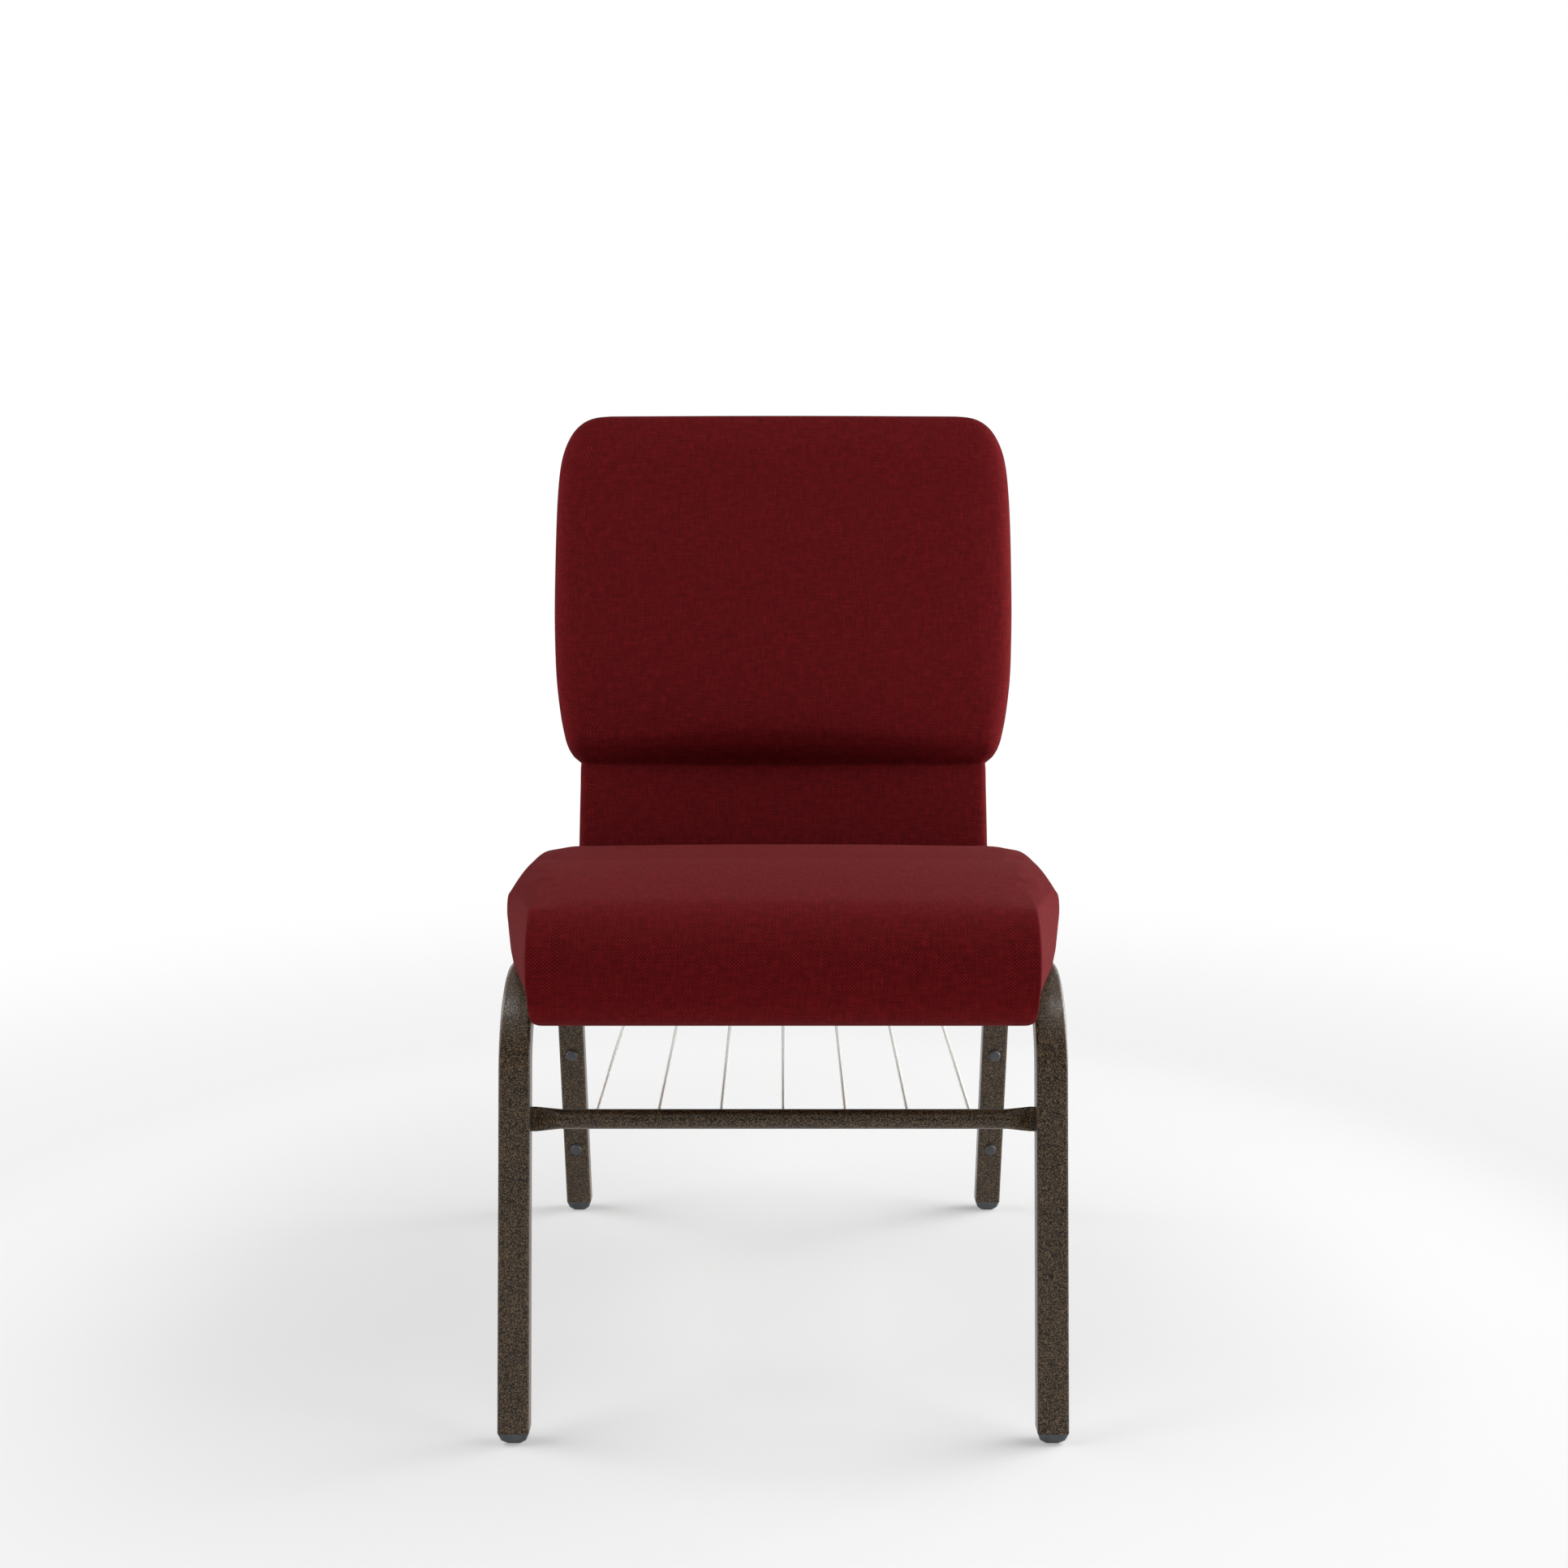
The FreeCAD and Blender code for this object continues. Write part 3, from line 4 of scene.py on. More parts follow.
import bmesh
import bpy
import numpy as np
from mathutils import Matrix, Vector
from mathutils.bvhtree import BVHTree


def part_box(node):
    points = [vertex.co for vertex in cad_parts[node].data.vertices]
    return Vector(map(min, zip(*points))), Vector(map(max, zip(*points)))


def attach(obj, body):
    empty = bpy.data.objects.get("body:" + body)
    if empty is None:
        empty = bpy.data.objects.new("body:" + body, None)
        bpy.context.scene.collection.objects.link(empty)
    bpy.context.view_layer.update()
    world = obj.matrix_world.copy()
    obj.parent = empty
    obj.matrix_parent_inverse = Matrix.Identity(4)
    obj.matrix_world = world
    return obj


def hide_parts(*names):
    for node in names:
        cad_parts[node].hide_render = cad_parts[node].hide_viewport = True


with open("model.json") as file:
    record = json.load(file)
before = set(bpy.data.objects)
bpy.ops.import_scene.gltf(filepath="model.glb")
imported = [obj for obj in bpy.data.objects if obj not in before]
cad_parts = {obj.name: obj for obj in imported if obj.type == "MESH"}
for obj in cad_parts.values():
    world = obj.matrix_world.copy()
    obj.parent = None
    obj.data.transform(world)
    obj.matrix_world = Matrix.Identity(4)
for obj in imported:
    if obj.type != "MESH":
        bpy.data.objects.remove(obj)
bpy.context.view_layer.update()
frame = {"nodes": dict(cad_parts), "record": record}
nodes = frame["nodes"]

MM = 0.001


# Shader helpers

class Graph:
    """A node tree, built up by name."""

    def __init__(self, tree):
        self.tree = tree

    def node(self, kind, settings=None, **inputs):
        made = self.tree.nodes.new(kind)
        for key, value in (settings or {}).items():
            setattr(made, key, value)
        for key, value in inputs.items():
            self.plug(value, made.inputs[key.replace("_", " ")])
        return made

    def plug(self, value, socket):
        if isinstance(value, bpy.types.NodeSocket):
            self.tree.links.new(value, socket)
        else:
            socket.default_value = value

    def math(self, operation, first, second=0.0):
        made = self.tree.nodes.new("ShaderNodeMath")
        made.operation = operation
        self.plug(first, made.inputs[0])
        self.plug(second, made.inputs[1])
        return made.outputs[0]

    def noise(self, vector, scale, detail=2.0, rough=0.5):
        made = self.node("ShaderNodeTexNoise", Vector=vector, Scale=scale, Detail=detail, Roughness=rough)
        return made.outputs["Fac"]

    def stretched(self, vector, along, across, depth=1.0):
        made = self.node("ShaderNodeMapping", Vector=vector, Scale=(along, across, depth))
        return made.outputs["Vector"]

    def band(self, value, low, high):
        """Smooth step from 0 at low to 1 at high."""
        made = self.node("ShaderNodeMapRange", {"interpolation_type": "SMOOTHSTEP"}, Value=value)
        made.inputs["From Min"].default_value = low
        made.inputs["From Max"].default_value = high
        return made.outputs["Result"]

    def blend(self, share, first, second):
        made = self.tree.nodes.new("ShaderNodeMix")
        made.data_type = "RGBA"
        self.plug(share, made.inputs["Factor"])
        self.plug(first, made.inputs[6])
        self.plug(second, made.inputs[7])
        return made.outputs[2]

    def span(self, value, low, high):
        """Value from 0 to 1 spread from low to high."""
        made = self.node("ShaderNodeMapRange", Value=value)
        made.inputs["To Min"].default_value = low
        made.inputs["To Max"].default_value = high
        return made.outputs["Result"]

    def bump(self, height, depth, strength=1.0, under=None):
        made = self.node("ShaderNodeBump", Height=height, Distance=depth, Strength=strength)
        if under is not None:
            self.plug(under, made.inputs["Normal"])
        return made.outputs["Normal"]

    def place(self, kind="Object"):
        return self.node("ShaderNodeTexCoord").outputs[kind]

    def any_of(self, *shares):
        total = shares[0]
        for share in shares[1:]:
            total = self.math("MAXIMUM", total, share)
        return total


class Shader(Graph):
    """A node material with one principled shader."""

    def __init__(self, name, **sockets):
        self.material = bpy.data.materials.new(name)
        self.material.use_nodes = True
        super().__init__(self.material.node_tree)
        self.surface = self.tree.nodes["Principled BSDF"]
        for socket, value in sockets.items():
            self.surface.inputs[socket.replace("_", " ")].default_value = value

    def set(self, **sockets):
        for socket, value in sockets.items():
            self.plug(value, self.surface.inputs[socket.replace("_", " ")])
        return self.material


# Materials

YARN = 1.5 * MM
FABRIC_DARK = (0.051, 0.0021, 0.0028, 1.0)
FABRIC_LIGHT = (0.138, 0.0066, 0.0084, 1.0)


def burgundy_fabric():
    """Plain weave of uneven yarns, with a soft light nap at the edges."""
    s = Shader("burgundy_weave", Roughness=0.9, Sheen_Weight=0.012, Sheen_Roughness=0.32,
               Sheen_Tint=(1.0, 0.7, 0.7, 1.0), Specular_IOR_Level=0.033)
    flat = s.place("UV")
    wander = s.noise(flat, 160.0, 1.0)
    parts = s.node("ShaderNodeSeparateXYZ", Vector=flat)
    turn = math.pi / YARN
    across = s.math("SINE", s.math("MULTIPLY", parts.outputs["X"], turn))
    along = s.math("SINE", s.math("MULTIPLY", parts.outputs["Y"], turn))
    weave = s.span(s.math("MULTIPLY", across, along), 0.0, 1.0)
    upright = s.noise(s.stretched(flat, 700.0, 60.0), 1.0, 2.0)
    level = s.noise(s.stretched(flat, 60.0, 700.0), 1.0, 2.0)
    slub = s.math("MULTIPLY", s.math("ADD", upright, level), 0.5)
    height = s.math("ADD", s.math("MULTIPLY", weave, 0.46), s.math("MULTIPLY", slub, 0.94))
    tone = s.blend(s.band(height, 0.35, 1.05), FABRIC_DARK, FABRIC_LIGHT)
    worn = s.blend(s.band(wander, 0.3, 0.75), (0.82, 0.82, 0.82, 1.0), (1.0, 1.0, 1.0, 1.0))
    colour = s.node("ShaderNodeMix", {"data_type": "RGBA", "blend_type": "MULTIPLY"})
    colour.inputs["Factor"].default_value = 1.0
    s.plug(tone, colour.inputs[6])
    s.plug(worn, colour.inputs[7])
    return s.set(Base_Color=colour.outputs[2], Normal=s.bump(height, 0.35 * MM, 0.7))


def bronze_coat():
    """Dark bronze coat with pale veins, over a fine hammered surface."""
    s = Shader("bronze_vein_coat", Metallic=0.0, Specular_IOR_Level=0.18, Coat_Weight=0.25, Coat_Roughness=0.06)
    place = s.place()
    vein = s.noise(place, 850.0, 3.0, 0.6)
    fleck = s.noise(place, 1500.0, 1.0)
    cloud = s.noise(place, 60.0, 2.0)
    base = s.blend(s.band(vein, 0.46, 0.6), (0.003, 0.0018, 0.0009, 1.0), (0.084, 0.053, 0.026, 1.0))
    gold = s.blend(s.band(fleck, 0.62, 0.74), base, (0.17, 0.11, 0.05, 1.0))
    tone = s.blend(s.band(cloud, 0.35, 0.75), gold, base)
    rough = s.span(vein, 0.24, 0.5)
    hammered = s.bump(vein, 0.35 * MM, 0.6)
    return s.set(Base_Color=tone, Roughness=rough, Normal=hammered, Coat_Normal=hammered)


def bright_wire():
    """Bright steel wire under a thin speckled bronze lacquer; the pale tone is partly painted reflection of the
    white surroundings.
    """
    s = Shader("wire_pale_painted_reflection", Metallic=0.35)
    place = s.place()
    speck = s.noise(place, 900.0, 2.0)
    # The pale tone is partly painted reflection of the white surroundings on the bronze lacquer, partly the
    # wire's own light colour.
    tone = s.blend(s.band(speck, 0.36, 0.62), (0.74, 0.7, 0.64, 1.0), (0.95, 0.93, 0.9, 1.0))
    return s.set(Base_Color=tone, Roughness=s.span(speck, 0.15, 0.3), Normal=s.bump(speck, 0.12 * MM, 0.15))


def foot_plastic():
    """Dark moulded plastic with a fine grain."""
    s = Shader("foot_plastic_grain", Roughness=0.5, Specular_IOR_Level=0.4)
    place = s.place()
    grain = s.noise(place, 1800.0, 2.0)
    cloud = s.noise(place, 120.0, 2.0)
    tone = s.blend(s.band(cloud, 0.3, 0.7), (0.026, 0.028, 0.031, 1.0), (0.039, 0.042, 0.046, 1.0))
    return s.set(Base_Color=tone, Roughness=s.span(grain, 0.4, 0.62), Normal=s.bump(grain, 0.12 * MM, 0.5))


def metal_finish(name, dark, light, rough):
    """Plated steel with fine brushed scratches."""
    s = Shader(name, Metallic=1.0, Roughness=rough)
    place = s.place()
    brushed = s.noise(s.stretched(place, 4000.0, 300.0, 300.0), 1.0, 2.0)
    cloud = s.noise(place, 400.0, 2.0)
    tone = s.blend(s.band(cloud, 0.3, 0.7), dark, light)
    return s.set(Base_Color=tone, Roughness=s.span(brushed, rough - 0.1, rough + 0.15),
                 Normal=s.bump(brushed, 0.05 * MM, 0.4))


def plywood(name, face_axis):
    """Bare veneer with grain lines on the faces along one axis; the cover is turned round the edges."""
    s = Shader(name, Roughness=0.8, Specular_IOR_Level=0.1)
    place = s.place()
    grain = s.noise(s.stretched(place, 14.0, 260.0, 260.0), 1.0, 4.0, 0.6)
    pores = s.noise(s.stretched(place, 60.0, 1800.0, 1800.0), 1.0, 2.0)
    wood = s.blend(s.band(grain, 0.35, 0.68), (0.30, 0.17, 0.075, 1.0), (0.56, 0.38, 0.2, 1.0))
    veneer = s.blend(s.band(pores, 0.6, 0.75), wood, (0.2, 0.11, 0.05, 1.0))
    yarns = s.noise(place, 650.0, 2.0)
    cloth = s.blend(s.band(yarns, 0.35, 0.65), FABRIC_DARK, FABRIC_LIGHT)
    normal = s.node("ShaderNodeSeparateXYZ", Vector=s.place("Normal")).outputs[face_axis]
    tone = s.blend(s.band(s.math("ABSOLUTE", normal), 0.6, 0.8), cloth, veneer)
    return s.set(Base_Color=tone, Normal=s.bump(grain, 0.2 * MM, 0.4))


def dust_cloth():
    """Black non-woven cloth of matted fibres."""
    s = Shader("dust_cloth_fibres", Roughness=0.95, Sheen_Weight=0.15, Specular_IOR_Level=0.2)
    place = s.place()
    mat = s.noise(place, 900.0, 4.0, 0.7)
    fibres = s.noise(s.stretched(place, 2500.0, 250.0, 600.0), 1.0, 2.0)
    height = s.math("ADD", mat, s.math("MULTIPLY", fibres, 0.6))
    tone = s.blend(s.band(height, 0.6, 1.1), (0.006, 0.006, 0.007, 1.0), (0.03, 0.03, 0.032, 1.0))
    return s.set(Base_Color=tone, Normal=s.bump(height, 0.3 * MM, 0.8))


def foam():
    """Open-cell foam, seen only where the covers leave it bare."""
    s = Shader("foam_cells", Roughness=0.95, Specular_IOR_Level=0.2)
    cells = s.node("ShaderNodeTexVoronoi", Vector=s.place(), Scale=700.0).outputs["Distance"]
    tone = s.blend(s.band(cells, 0.1, 0.6), (0.42, 0.33, 0.16, 1.0), (0.72, 0.62, 0.38, 1.0))
    return s.set(Base_Color=tone, Normal=s.bump(cells, 0.4 * MM, 0.8))


finishes = {
    "bronze_coat": bronze_coat(),
    "bright_wire": bright_wire(),
    "foot_plastic": foot_plastic(),
    "brass_screw": metal_finish("brass_plate", (0.55, 0.36, 0.17, 1.0), (0.82, 0.58, 0.32, 1.0), 0.3),
    "plywood": plywood("seat_plywood", "Z"),
    "dust_cloth": dust_cloth(),
    "zinc_steel": metal_finish("zinc_plate", (0.42, 0.42, 0.4, 1.0), (0.68, 0.68, 0.66, 1.0), 0.35),
    "foam": foam(),
    "burgundy_fabric": burgundy_fabric(),
}

for part in frame["record"]["subparts"]:
    skin = nodes[part["node"]].data.materials
    skin.clear()
    skin.append(finishes[part["material_slot"]])

back_plywood = plywood("back_plywood", "Y")
for name in ("back_board", "back_rear_panel"):
    nodes[name].data.materials[0] = back_plywood


# Helpers for rows of numbers and for meshes

def spread(start, end, count):
    """Even row of numbers from start to end."""
    return [start + (end - start) * i / (count - 1) for i in range(count)]


def steps(marks):
    """Places along an axis: from mark to mark in even steps of about the length given with each mark."""
    places = [marks[0][0]]
    for (start, step), (end, _) in zip(marks, marks[1:]):
        count = max(1, round(abs(end - start) / step))
        places += [start + (end - start) * (i + 1) / count for i in range(count)]
    return places


def fade(value, start, end):
    """Smooth step from 0 at start to 1 at end."""
    share = np.clip((value - start) / (end - start), 0.0, 1.0)
    return share * share * (3.0 - 2.0 * share)


def points_of(mesh):
    """Places of all points, one row each."""
    flat = np.empty(3 * len(mesh.vertices))
    mesh.vertices.foreach_get("co", flat)
    return flat.reshape(-1, 3)


def normals_of(mesh):
    """Outward directions at all points, one row each."""
    flat = np.empty(3 * len(mesh.vertices))
    mesh.vertices.foreach_get("normal", flat)
    return flat.reshape(-1, 3)


def evened(mesh, values, rounds):
    """Spread values over the mesh, each point taking the mean of itself and its neighbours."""
    ends = np.empty(2 * len(mesh.edges), dtype=int)
    mesh.edges.foreach_get("vertices", ends)
    first, second = ends.reshape(-1, 2).T
    size = len(values)
    near = np.bincount(first, minlength=size) + np.bincount(second, minlength=size)
    for _ in range(rounds):
        total = np.bincount(first, values[second], size) + np.bincount(second, values[first], size)
        values = (values + total / near) / 2
    return values


def face_outward(mesh):
    """Turn every face so that it looks out of the closed mesh."""
    made = bmesh.new()
    made.from_mesh(mesh)
    bmesh.ops.recalc_face_normals(made, faces=made.faces)
    made.to_mesh(mesh)
    made.free()


# Cushions: each follows the outside of its solids, ring by ring

ACROSS = Vector((1.0, 0.0, 0.0))
FAR = 0.6  # how far outside the cushions the search rays start
END_SHARES = (0.8, 0.5, 0.2)  # loops that close an end, as shares of its section
EASE_ROUNDS = 20  # rounds of softening for the whole cover
EVEN_ROUNDS = 12  # rounds of softening for the rise that the cloth pass gives
PUFF_FRAMES = 16
PUFF_PRESSURE = 4.0
PUFF_LIMIT = 2.0 * MM  # the most that the cover may rise above its solid


def solid_tree(*names):
    """Search tree over the faces of several solids."""
    corners, faces = [], []
    for name in names:
        mesh = nodes[name].data
        start = len(corners)
        corners += [corner.co.copy() for corner in mesh.vertices]
        faces += [[start + i for i in face.vertices] for face in mesh.polygons]
    return BVHTree.FromPolygons(corners, faces)


def reach(tree, centre, outward):
    """Distance from centre to the outermost surface in one direction."""
    found = tree.ray_cast(centre + outward * FAR, -outward)[0]
    if found is None:
        return 0.0
    return (found - centre).dot(outward)


def ring(tree, centre, wide, thick, count, turn_count, shrink=1.0):
    """Closed loop of points around a flat section: along one face, round the end, back along the other face.

    wide and thick are the section's two directions. With shrink under 1 the loop lies inside the section."""
    over, under = reach(tree, centre, thick), reach(tree, centre, -thick)
    middle = centre + thick * ((over - under) / 2)
    radius = max((over + under) / 2, MM)
    right = max(reach(tree, middle, wide) - radius, MM)
    left = max(reach(tree, middle, -wide) - radius, MM)
    loop = []

    def add(base, outward):
        loop.append(base + outward * reach(tree, base, outward) * shrink)

    for place in spread(-left, right, count):
        add(middle + wide * place, thick)
    for angle in spread(0.0, math.pi, turn_count + 2)[1:-1]:
        add(middle + wide * right, thick * math.cos(angle) + wide * math.sin(angle))
    for place in spread(right, -left, count):
        add(middle + wide * place, -thick)
    for angle in spread(0.0, math.pi, turn_count + 2)[1:-1]:
        add(middle - wide * left, -thick * math.cos(angle) - wide * math.sin(angle))
    return loop


def closed_loops(loop, places):
    """Loops at all places, with the smaller ones that close both ends."""
    loops = [loop(places[0], share) for share in reversed(END_SHARES)]
    loops += [loop(place) for place in places]
    return loops + [loop(places[-1], share) for share in END_SHARES]


def quilted(name, loops, count, turn_count):
    """Closed quad mesh through the loops, with a flat layout in metres for the weave."""
    size = len(loops[0])
    points = [point for loop in loops for point in loop]
    faces = []
    for row in range(len(loops) - 1):
        for i in range(size):
            j = (i + 1) % size
            faces.append((row * size + i, row * size + j, (row + 1) * size + j, (row + 1) * size + i))
    for row in (0, len(loops) - 1):
        faces += end_faces(row * size, size, count, turn_count, flip=row == 0)
    mesh = bpy.data.meshes.new(name)
    mesh.from_pydata(points, [], faces)
    lay_flat(mesh, loops)
    face_outward(mesh)
    piece = bpy.data.objects.new(name, mesh)
    bpy.context.scene.collection.objects.link(piece)
    return piece


def end_faces(start, size, count, turn_count, flip):
    """Faces that close an end loop, joining each point to the one across from it."""
    half = turn_count // 2
    first = [(count + half + i) % size for i in range(size // 2)]
    second = [(count + half - 1 - i) % size for i in range(size // 2)]
    made = []
    for i in range(size // 2 - 1):
        face = [start + first[i], start + first[i + 1], start + second[i + 1], start + second[i]]
        made.append(tuple(reversed(face)) if flip else tuple(face))
    return made


def lay_flat(mesh, loops):
    """Layout in metres: round the loop one way and from loop to loop the other way."""
    grid = np.array([[tuple(point) for point in loop] for loop in loops])
    rows, size = grid.shape[:2]
    step_round = np.linalg.norm(np.roll(grid, -1, axis=1) - grid, axis=2)
    round_way = np.concatenate([np.zeros((rows, 1)), np.cumsum(step_round, axis=1)], axis=1)
    middle = size // 4
    round_way -= round_way[:, middle:middle + 1]
    step_up = np.linalg.norm(np.diff(grid, axis=0), axis=2)
    up_way = np.concatenate([np.zeros((1, size)), np.cumsum(step_up, axis=0)], axis=0)
    level = rows // 2
    up_way -= up_way[level:level + 1, :]
    layer = mesh.uv_layers.new(name="cloth")
    for face in mesh.polygons:
        spots = [divmod(mesh.loops[k].vertex_index, size) for k in face.loop_indices]
        wraps = max(s[1] for s in spots) - min(s[1] for s in spots) > size // 2
        for k, (row, i) in zip(face.loop_indices, spots):
            column = i + size if wraps and i == 0 else i
            layer.data[k].uv = (round_way[row, column], up_way[row, i])


def puff(piece, held):
    """Blow the cover up a little as cloth, held in place where held is 1, and keep its outward motion."""
    rest = points_of(piece.data)
    group = piece.vertex_groups.new(name="held")
    for index, weight in enumerate(held):
        group.add([index], float(weight), "REPLACE")
    cloth = piece.modifiers.new("puff", "CLOTH")
    stuff = cloth.settings
    stuff.quality = 4
    stuff.tension_stiffness = 30.0
    stuff.compression_stiffness = 30.0
    stuff.shear_stiffness = 15.0
    stuff.bending_stiffness = 4.0
    stuff.use_pressure = True
    stuff.uniform_pressure_force = PUFF_PRESSURE
    stuff.vertex_group_mass = group.name
    stuff.effector_weights.gravity = 0.0
    scene = bpy.context.scene
    for number in range(1, PUFF_FRAMES + 1):
        scene.frame_set(number)
    blown = piece.evaluated_get(bpy.context.evaluated_depsgraph_get())
    outward = normals_of(piece.data)
    rise = np.sum((points_of(blown.data) - rest) * outward, axis=1)
    rise = evened(piece.data, np.clip(rise, 0.0, PUFF_LIMIT), EVEN_ROUNDS)
    piece.modifiers.remove(cloth)
    piece.vertex_groups.remove(group)
    scene.frame_set(1)
    piece.data.vertices.foreach_set("co", (rest + outward * rise[:, None]).ravel())
    piece.data.update()


def ease(mesh, held):
    """Soften the slight ridges where the solid's curves meet, except where the cover is held."""
    rest = points_of(mesh)
    soft = np.stack([evened(mesh, axis, EASE_ROUNDS) for axis in rest.T], axis=1)
    mesh.vertices.foreach_set("co", (rest + (soft - rest) * (1.0 - held)[:, None]).ravel())
    mesh.update()


def on_end_rim(loops):
    """True for the points of the loops that close an end and of the rim beside them."""
    row = np.repeat(np.arange(len(loops)), len(loops[0]))
    return np.minimum(row, len(loops) - 1 - row) <= len(END_SHARES)


def cushion(name, node, others, loops, count, turn_count, hold):
    """Soft piece through the loops, in place of some solids.

    hold gives from points and normals how firmly each point is held, from 0 to 1."""
    piece = quilted(name, loops, count, turn_count)
    piece.data.materials.append(finishes["burgundy_fabric"])
    for face in piece.data.polygons:
        face.use_smooth = True
    held = hold(points_of(piece.data), normals_of(piece.data))
    ease(piece.data, np.where(on_end_rim(loops), 1.0, held))
    puff(piece, held)
    smooth = piece.modifiers.new("soft_surface", "SUBSURF")
    smooth.levels = smooth.render_levels = 1
    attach(piece, "root")
    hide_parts(node, *others)


def back_cushion():
    """Padded back: rings across it, from its lower edge to its top."""
    lean = math.radians(17.3)
    up = Vector((0.0, math.sin(lean), math.cos(lean)))
    rearward = Vector((0.0, math.cos(lean), -math.sin(lean)))
    foot = Vector((0.0, 26.8 * MM, 0.0))  # where the plane of the back meets the floor
    tree = solid_tree("back_cover", "back_foam", "back_board", "back_rear_panel")
    core = foot - rearward * 8.0 * MM  # the rings lie around a line inside the padding
    middle = 700.0 * MM  # a height well inside it
    top = middle + reach(tree, core + up * middle, up)
    bottom = middle - reach(tree, core + up * middle, -up)
    waist = 504.0 * MM  # height of the crease along the back
    places = steps((
        (bottom + 0.3 * MM, 1.5 * MM), (bottom + 8 * MM, 5 * MM), (waist - 30 * MM, 3 * MM),
        (waist - 8 * MM, 1.6 * MM), (waist + 30 * MM, 4 * MM), (waist + 60 * MM, 7 * MM),
        (top - 60 * MM, 4 * MM), (top - 20 * MM, 2 * MM), (top - 6 * MM, 1 * MM), (top - 0.2 * MM, 1 * MM),
    ))
    count, turns = 80, 28  # points along a face and round an end

    def loop(place, shrink=1.0):
        return ring(tree, core + up * place, ACROSS, -rearward, count, turns, shrink)

    def hold(points, normals):
        """The rear face, the lower edge and the crease stay put."""
        along = (points - np.array(foot)) @ np.array(up)
        rear = fade(normals @ np.array(rearward), -0.1, 0.5)
        crease = 1.0 - fade(np.abs(along - waist), 5 * MM, 30 * MM)
        edge = 1.0 - fade(along - bottom, 2 * MM, 20 * MM)
        return np.maximum(rear, np.maximum(crease, edge))

    cushion("padded_back", "back_cover", ["back_foam"], closed_loops(loop, places), count, turns, hold)


def seat_cushion():
    """Waterfall seat: rings around it, from its left edge to its right one."""
    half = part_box("seat_cover")[1].x
    fold = 200.0 * MM  # how far from the middle the folds beside the roll are
    nose_front, nose_rear = -0.26, -0.16  # where along Y the folds run out
    slope = math.radians(3.38)
    rearward = Vector((0.0, math.cos(slope), -math.sin(slope)))
    upward = Vector((0.0, math.sin(slope), math.cos(slope)))
    tree = solid_tree("seat_cover", "seat_foam")
    board_low, board_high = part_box("seat_board")
    # The rings lie around a line inside the foam, above the middle of the board.
    core = Vector((0.0, (board_low.y + board_high.y) / 2, board_high.z + 15 * MM))
    right = steps((
        (0.0, 8 * MM), (fold - 24 * MM, 3 * MM), (fold - 6 * MM, 1.2 * MM), (fold + 6 * MM, 2.5 * MM),
        (half - 8 * MM, 1.2 * MM), (half - 0.2 * MM, 1 * MM),
    ))
    places = [-place for place in reversed(right[1:])] + right
    count, turns = 90, 36  # points along a face and round an end

    def loop(place, shrink=1.0):
        return ring(tree, core + ACROSS * place, -rearward, upward, count, turns, shrink)

    def hold(points, normals):
        """The underside and the folds beside the roll stay put."""
        under = fade(-(normals @ np.array(upward)), -0.1, 0.5)
        nose = 1.0 - fade(points[:, 1], nose_front, nose_rear)
        fold_line = (1.0 - fade(np.abs(np.abs(points[:, 0]) - fold), 3 * MM, 14 * MM)) * nose
        return np.maximum(under, fold_line)

    cushion("padded_seat", "seat_cover", ["seat_foam"], closed_loops(loop, places), count, turns, hold)


back_cushion()
seat_cushion()


# Studio

def studio_floor():
    """Pale floor that fades to white away from the object; its glow is dimmer near the object as painted shade.
    """
    mesh = bpy.data.meshes.new("studio_floor")
    half = 8.0  # half the floor's side
    mesh.from_pydata([(-half, -half, 0), (half, -half, 0), (half, half, 0), (-half, half, 0)], [], [(0, 1, 2, 3)])
    floor = bpy.data.objects.new("studio_floor", mesh)
    bpy.context.scene.collection.objects.link(floor)
    s = Shader("pale_floor", Roughness=0.6, Specular_IOR_Level=0.2, Base_Color=(0.84, 0.84, 0.84, 1.0))
    distance = s.node("ShaderNodeVectorMath", {"operation": "LENGTH"}).outputs["Value"]
    s.plug(s.place(), distance.node.inputs[0])
    path = s.node("ShaderNodeLightPath").outputs
    # To the eye and in mirrors the floor is partly plain white, more so further out; close to the object that
    # glow is dimmer, a painted shade.
    seen = s.any_of(path["Is Camera Ray"], path["Is Glossy Ray"], path["Is Transmission Ray"])
    share = s.math("MULTIPLY", s.span(s.band(distance, 0.35, 0.95), 0.6, 1.0), seen)
    far_white = s.span(s.band(distance, 0.9, 1.9), 0.89, 1.0)
    # Painted shade: the white glow is weaker near the object, where the chair stands.
    near = s.span(s.band(distance, 0.3, 0.85), 0.56, 1.0)
    white = s.node("ShaderNodeEmission", Strength=s.math("MULTIPLY", near, far_white))
    mixed = s.node("ShaderNodeMixShader")
    s.plug(share, mixed.inputs[0])
    s.plug(s.surface.outputs[0], mixed.inputs[1])
    s.plug(white.outputs[0], mixed.inputs[2])
    s.plug(mixed.outputs[0], s.tree.nodes["Material Output"].inputs["Surface"])
    mesh.materials.append(s.material)


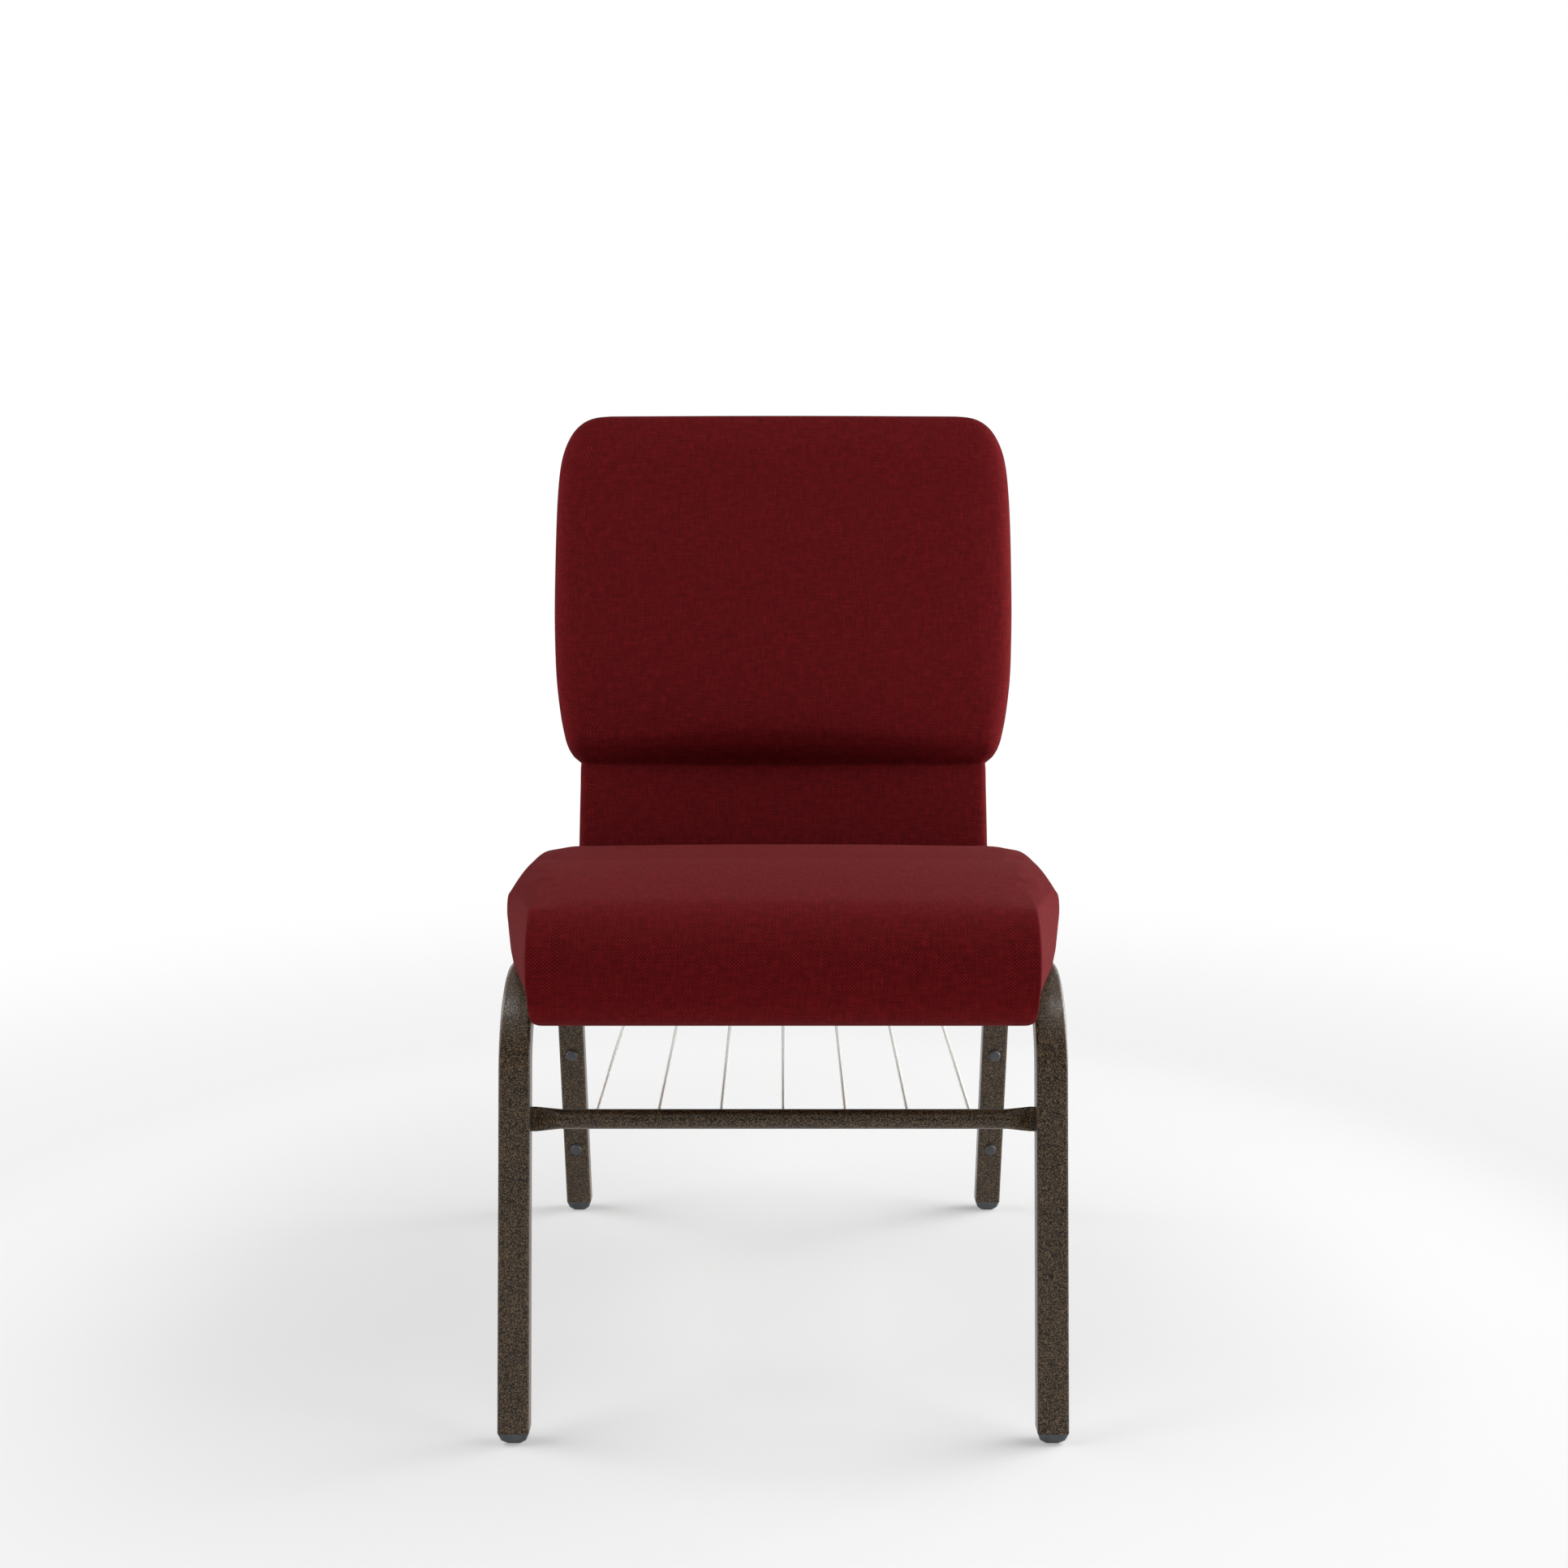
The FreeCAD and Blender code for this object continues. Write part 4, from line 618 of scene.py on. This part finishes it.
def studio_sky(light_level, front_level):
    """White surroundings that give part of the light, and mirror dimmer low in front than behind or above."""
    world = bpy.data.worlds.new("studio_sky")
    bpy.context.scene.world = world
    world.use_nodes = True
    g = Graph(world.node_tree)
    toward = g.node("ShaderNodeSeparateXYZ", Vector=g.place("Generated")).outputs
    back_or_top = g.any_of(g.band(toward["Y"], -0.35, 0.45), g.band(toward["Z"], 0.35, 0.75))
    white = g.span(back_or_top, front_level, 1.0)
    path = g.node("ShaderNodeLightPath").outputs
    mirrored = g.any_of(path["Is Glossy Ray"], path["Is Transmission Ray"])
    level = g.any_of(g.math("MULTIPLY", white, mirrored), light_level)
    sky = g.tree.nodes["Background"]
    sky.inputs["Color"].default_value = (1.0, 1.0, 1.0, 1.0)
    g.plug(g.any_of(path["Is Camera Ray"], level), sky.inputs["Strength"])


def soft_box(name, place, aim, size, power):
    """Square lamp at place, turned to aim."""
    data = bpy.data.lights.new(name, "AREA")
    data.shape = "SQUARE"
    data.size = size
    data.energy = power
    lamp = bpy.data.objects.new(name, data)
    lamp.location = place
    lamp.rotation_euler = (Vector(aim) - Vector(place)).to_track_quat("-Z", "Y").to_euler()
    bpy.context.scene.collection.objects.link(lamp)
    return lamp


def camera():
    """Camera fitted to the edges of the chair in the photo."""
    tilt = math.radians(90.0 - 6.508)  # 90 looks level
    data = bpy.data.cameras.new("photo_camera")
    data.sensor_width = 36.0
    data.lens = 44.575
    data.shift_x = 0.0005
    data.shift_y = -0.0503
    eye = bpy.data.objects.new("photo_camera", data)
    eye.location = (0.0, -1.7742, 0.7641)
    eye.rotation_euler = (tilt, 0.0, 0.0)
    bpy.context.scene.collection.objects.link(eye)
    bpy.context.scene.camera = eye


BOX_AIM = (0.0, 0.0, 0.45)
BOX_SIZE = 1.5
SOFT_BOXES = (
    ("right_high_box", (1.7, -0.2, 2.0), 50.0),
    ("right_low_box", (2.2, 0.3, 0.8), 85.0),
    ("right_rear_box", (2.0, 1.0, 1.3), 26.0),
    ("left_high_box", (-1.7, -0.2, 2.0), 54.0),
    ("left_low_box", (-2.2, 0.3, 0.8), 26.0),
    ("front_low_box", (0.0, -2.6, 0.45), 34.0),
)

studio_floor()
studio_sky(light_level=0.03, front_level=0.2)
for name, place, power in SOFT_BOXES:
    lamp = soft_box(name, place, BOX_AIM, BOX_SIZE, power)
    lamp.visible_glossy = name != "front_low_box"  # its mirror image would veil the legs
glint_box = soft_box("glint_box", (0.0, -0.7, 2.4), (0.0, -0.25, 0.4), size=0.35, power=24.0)
glint_box.visible_diffuse = False  # it only makes the legs' upper bends sparkle
camera()
bpy.context.scene.view_settings.view_transform = "Standard"
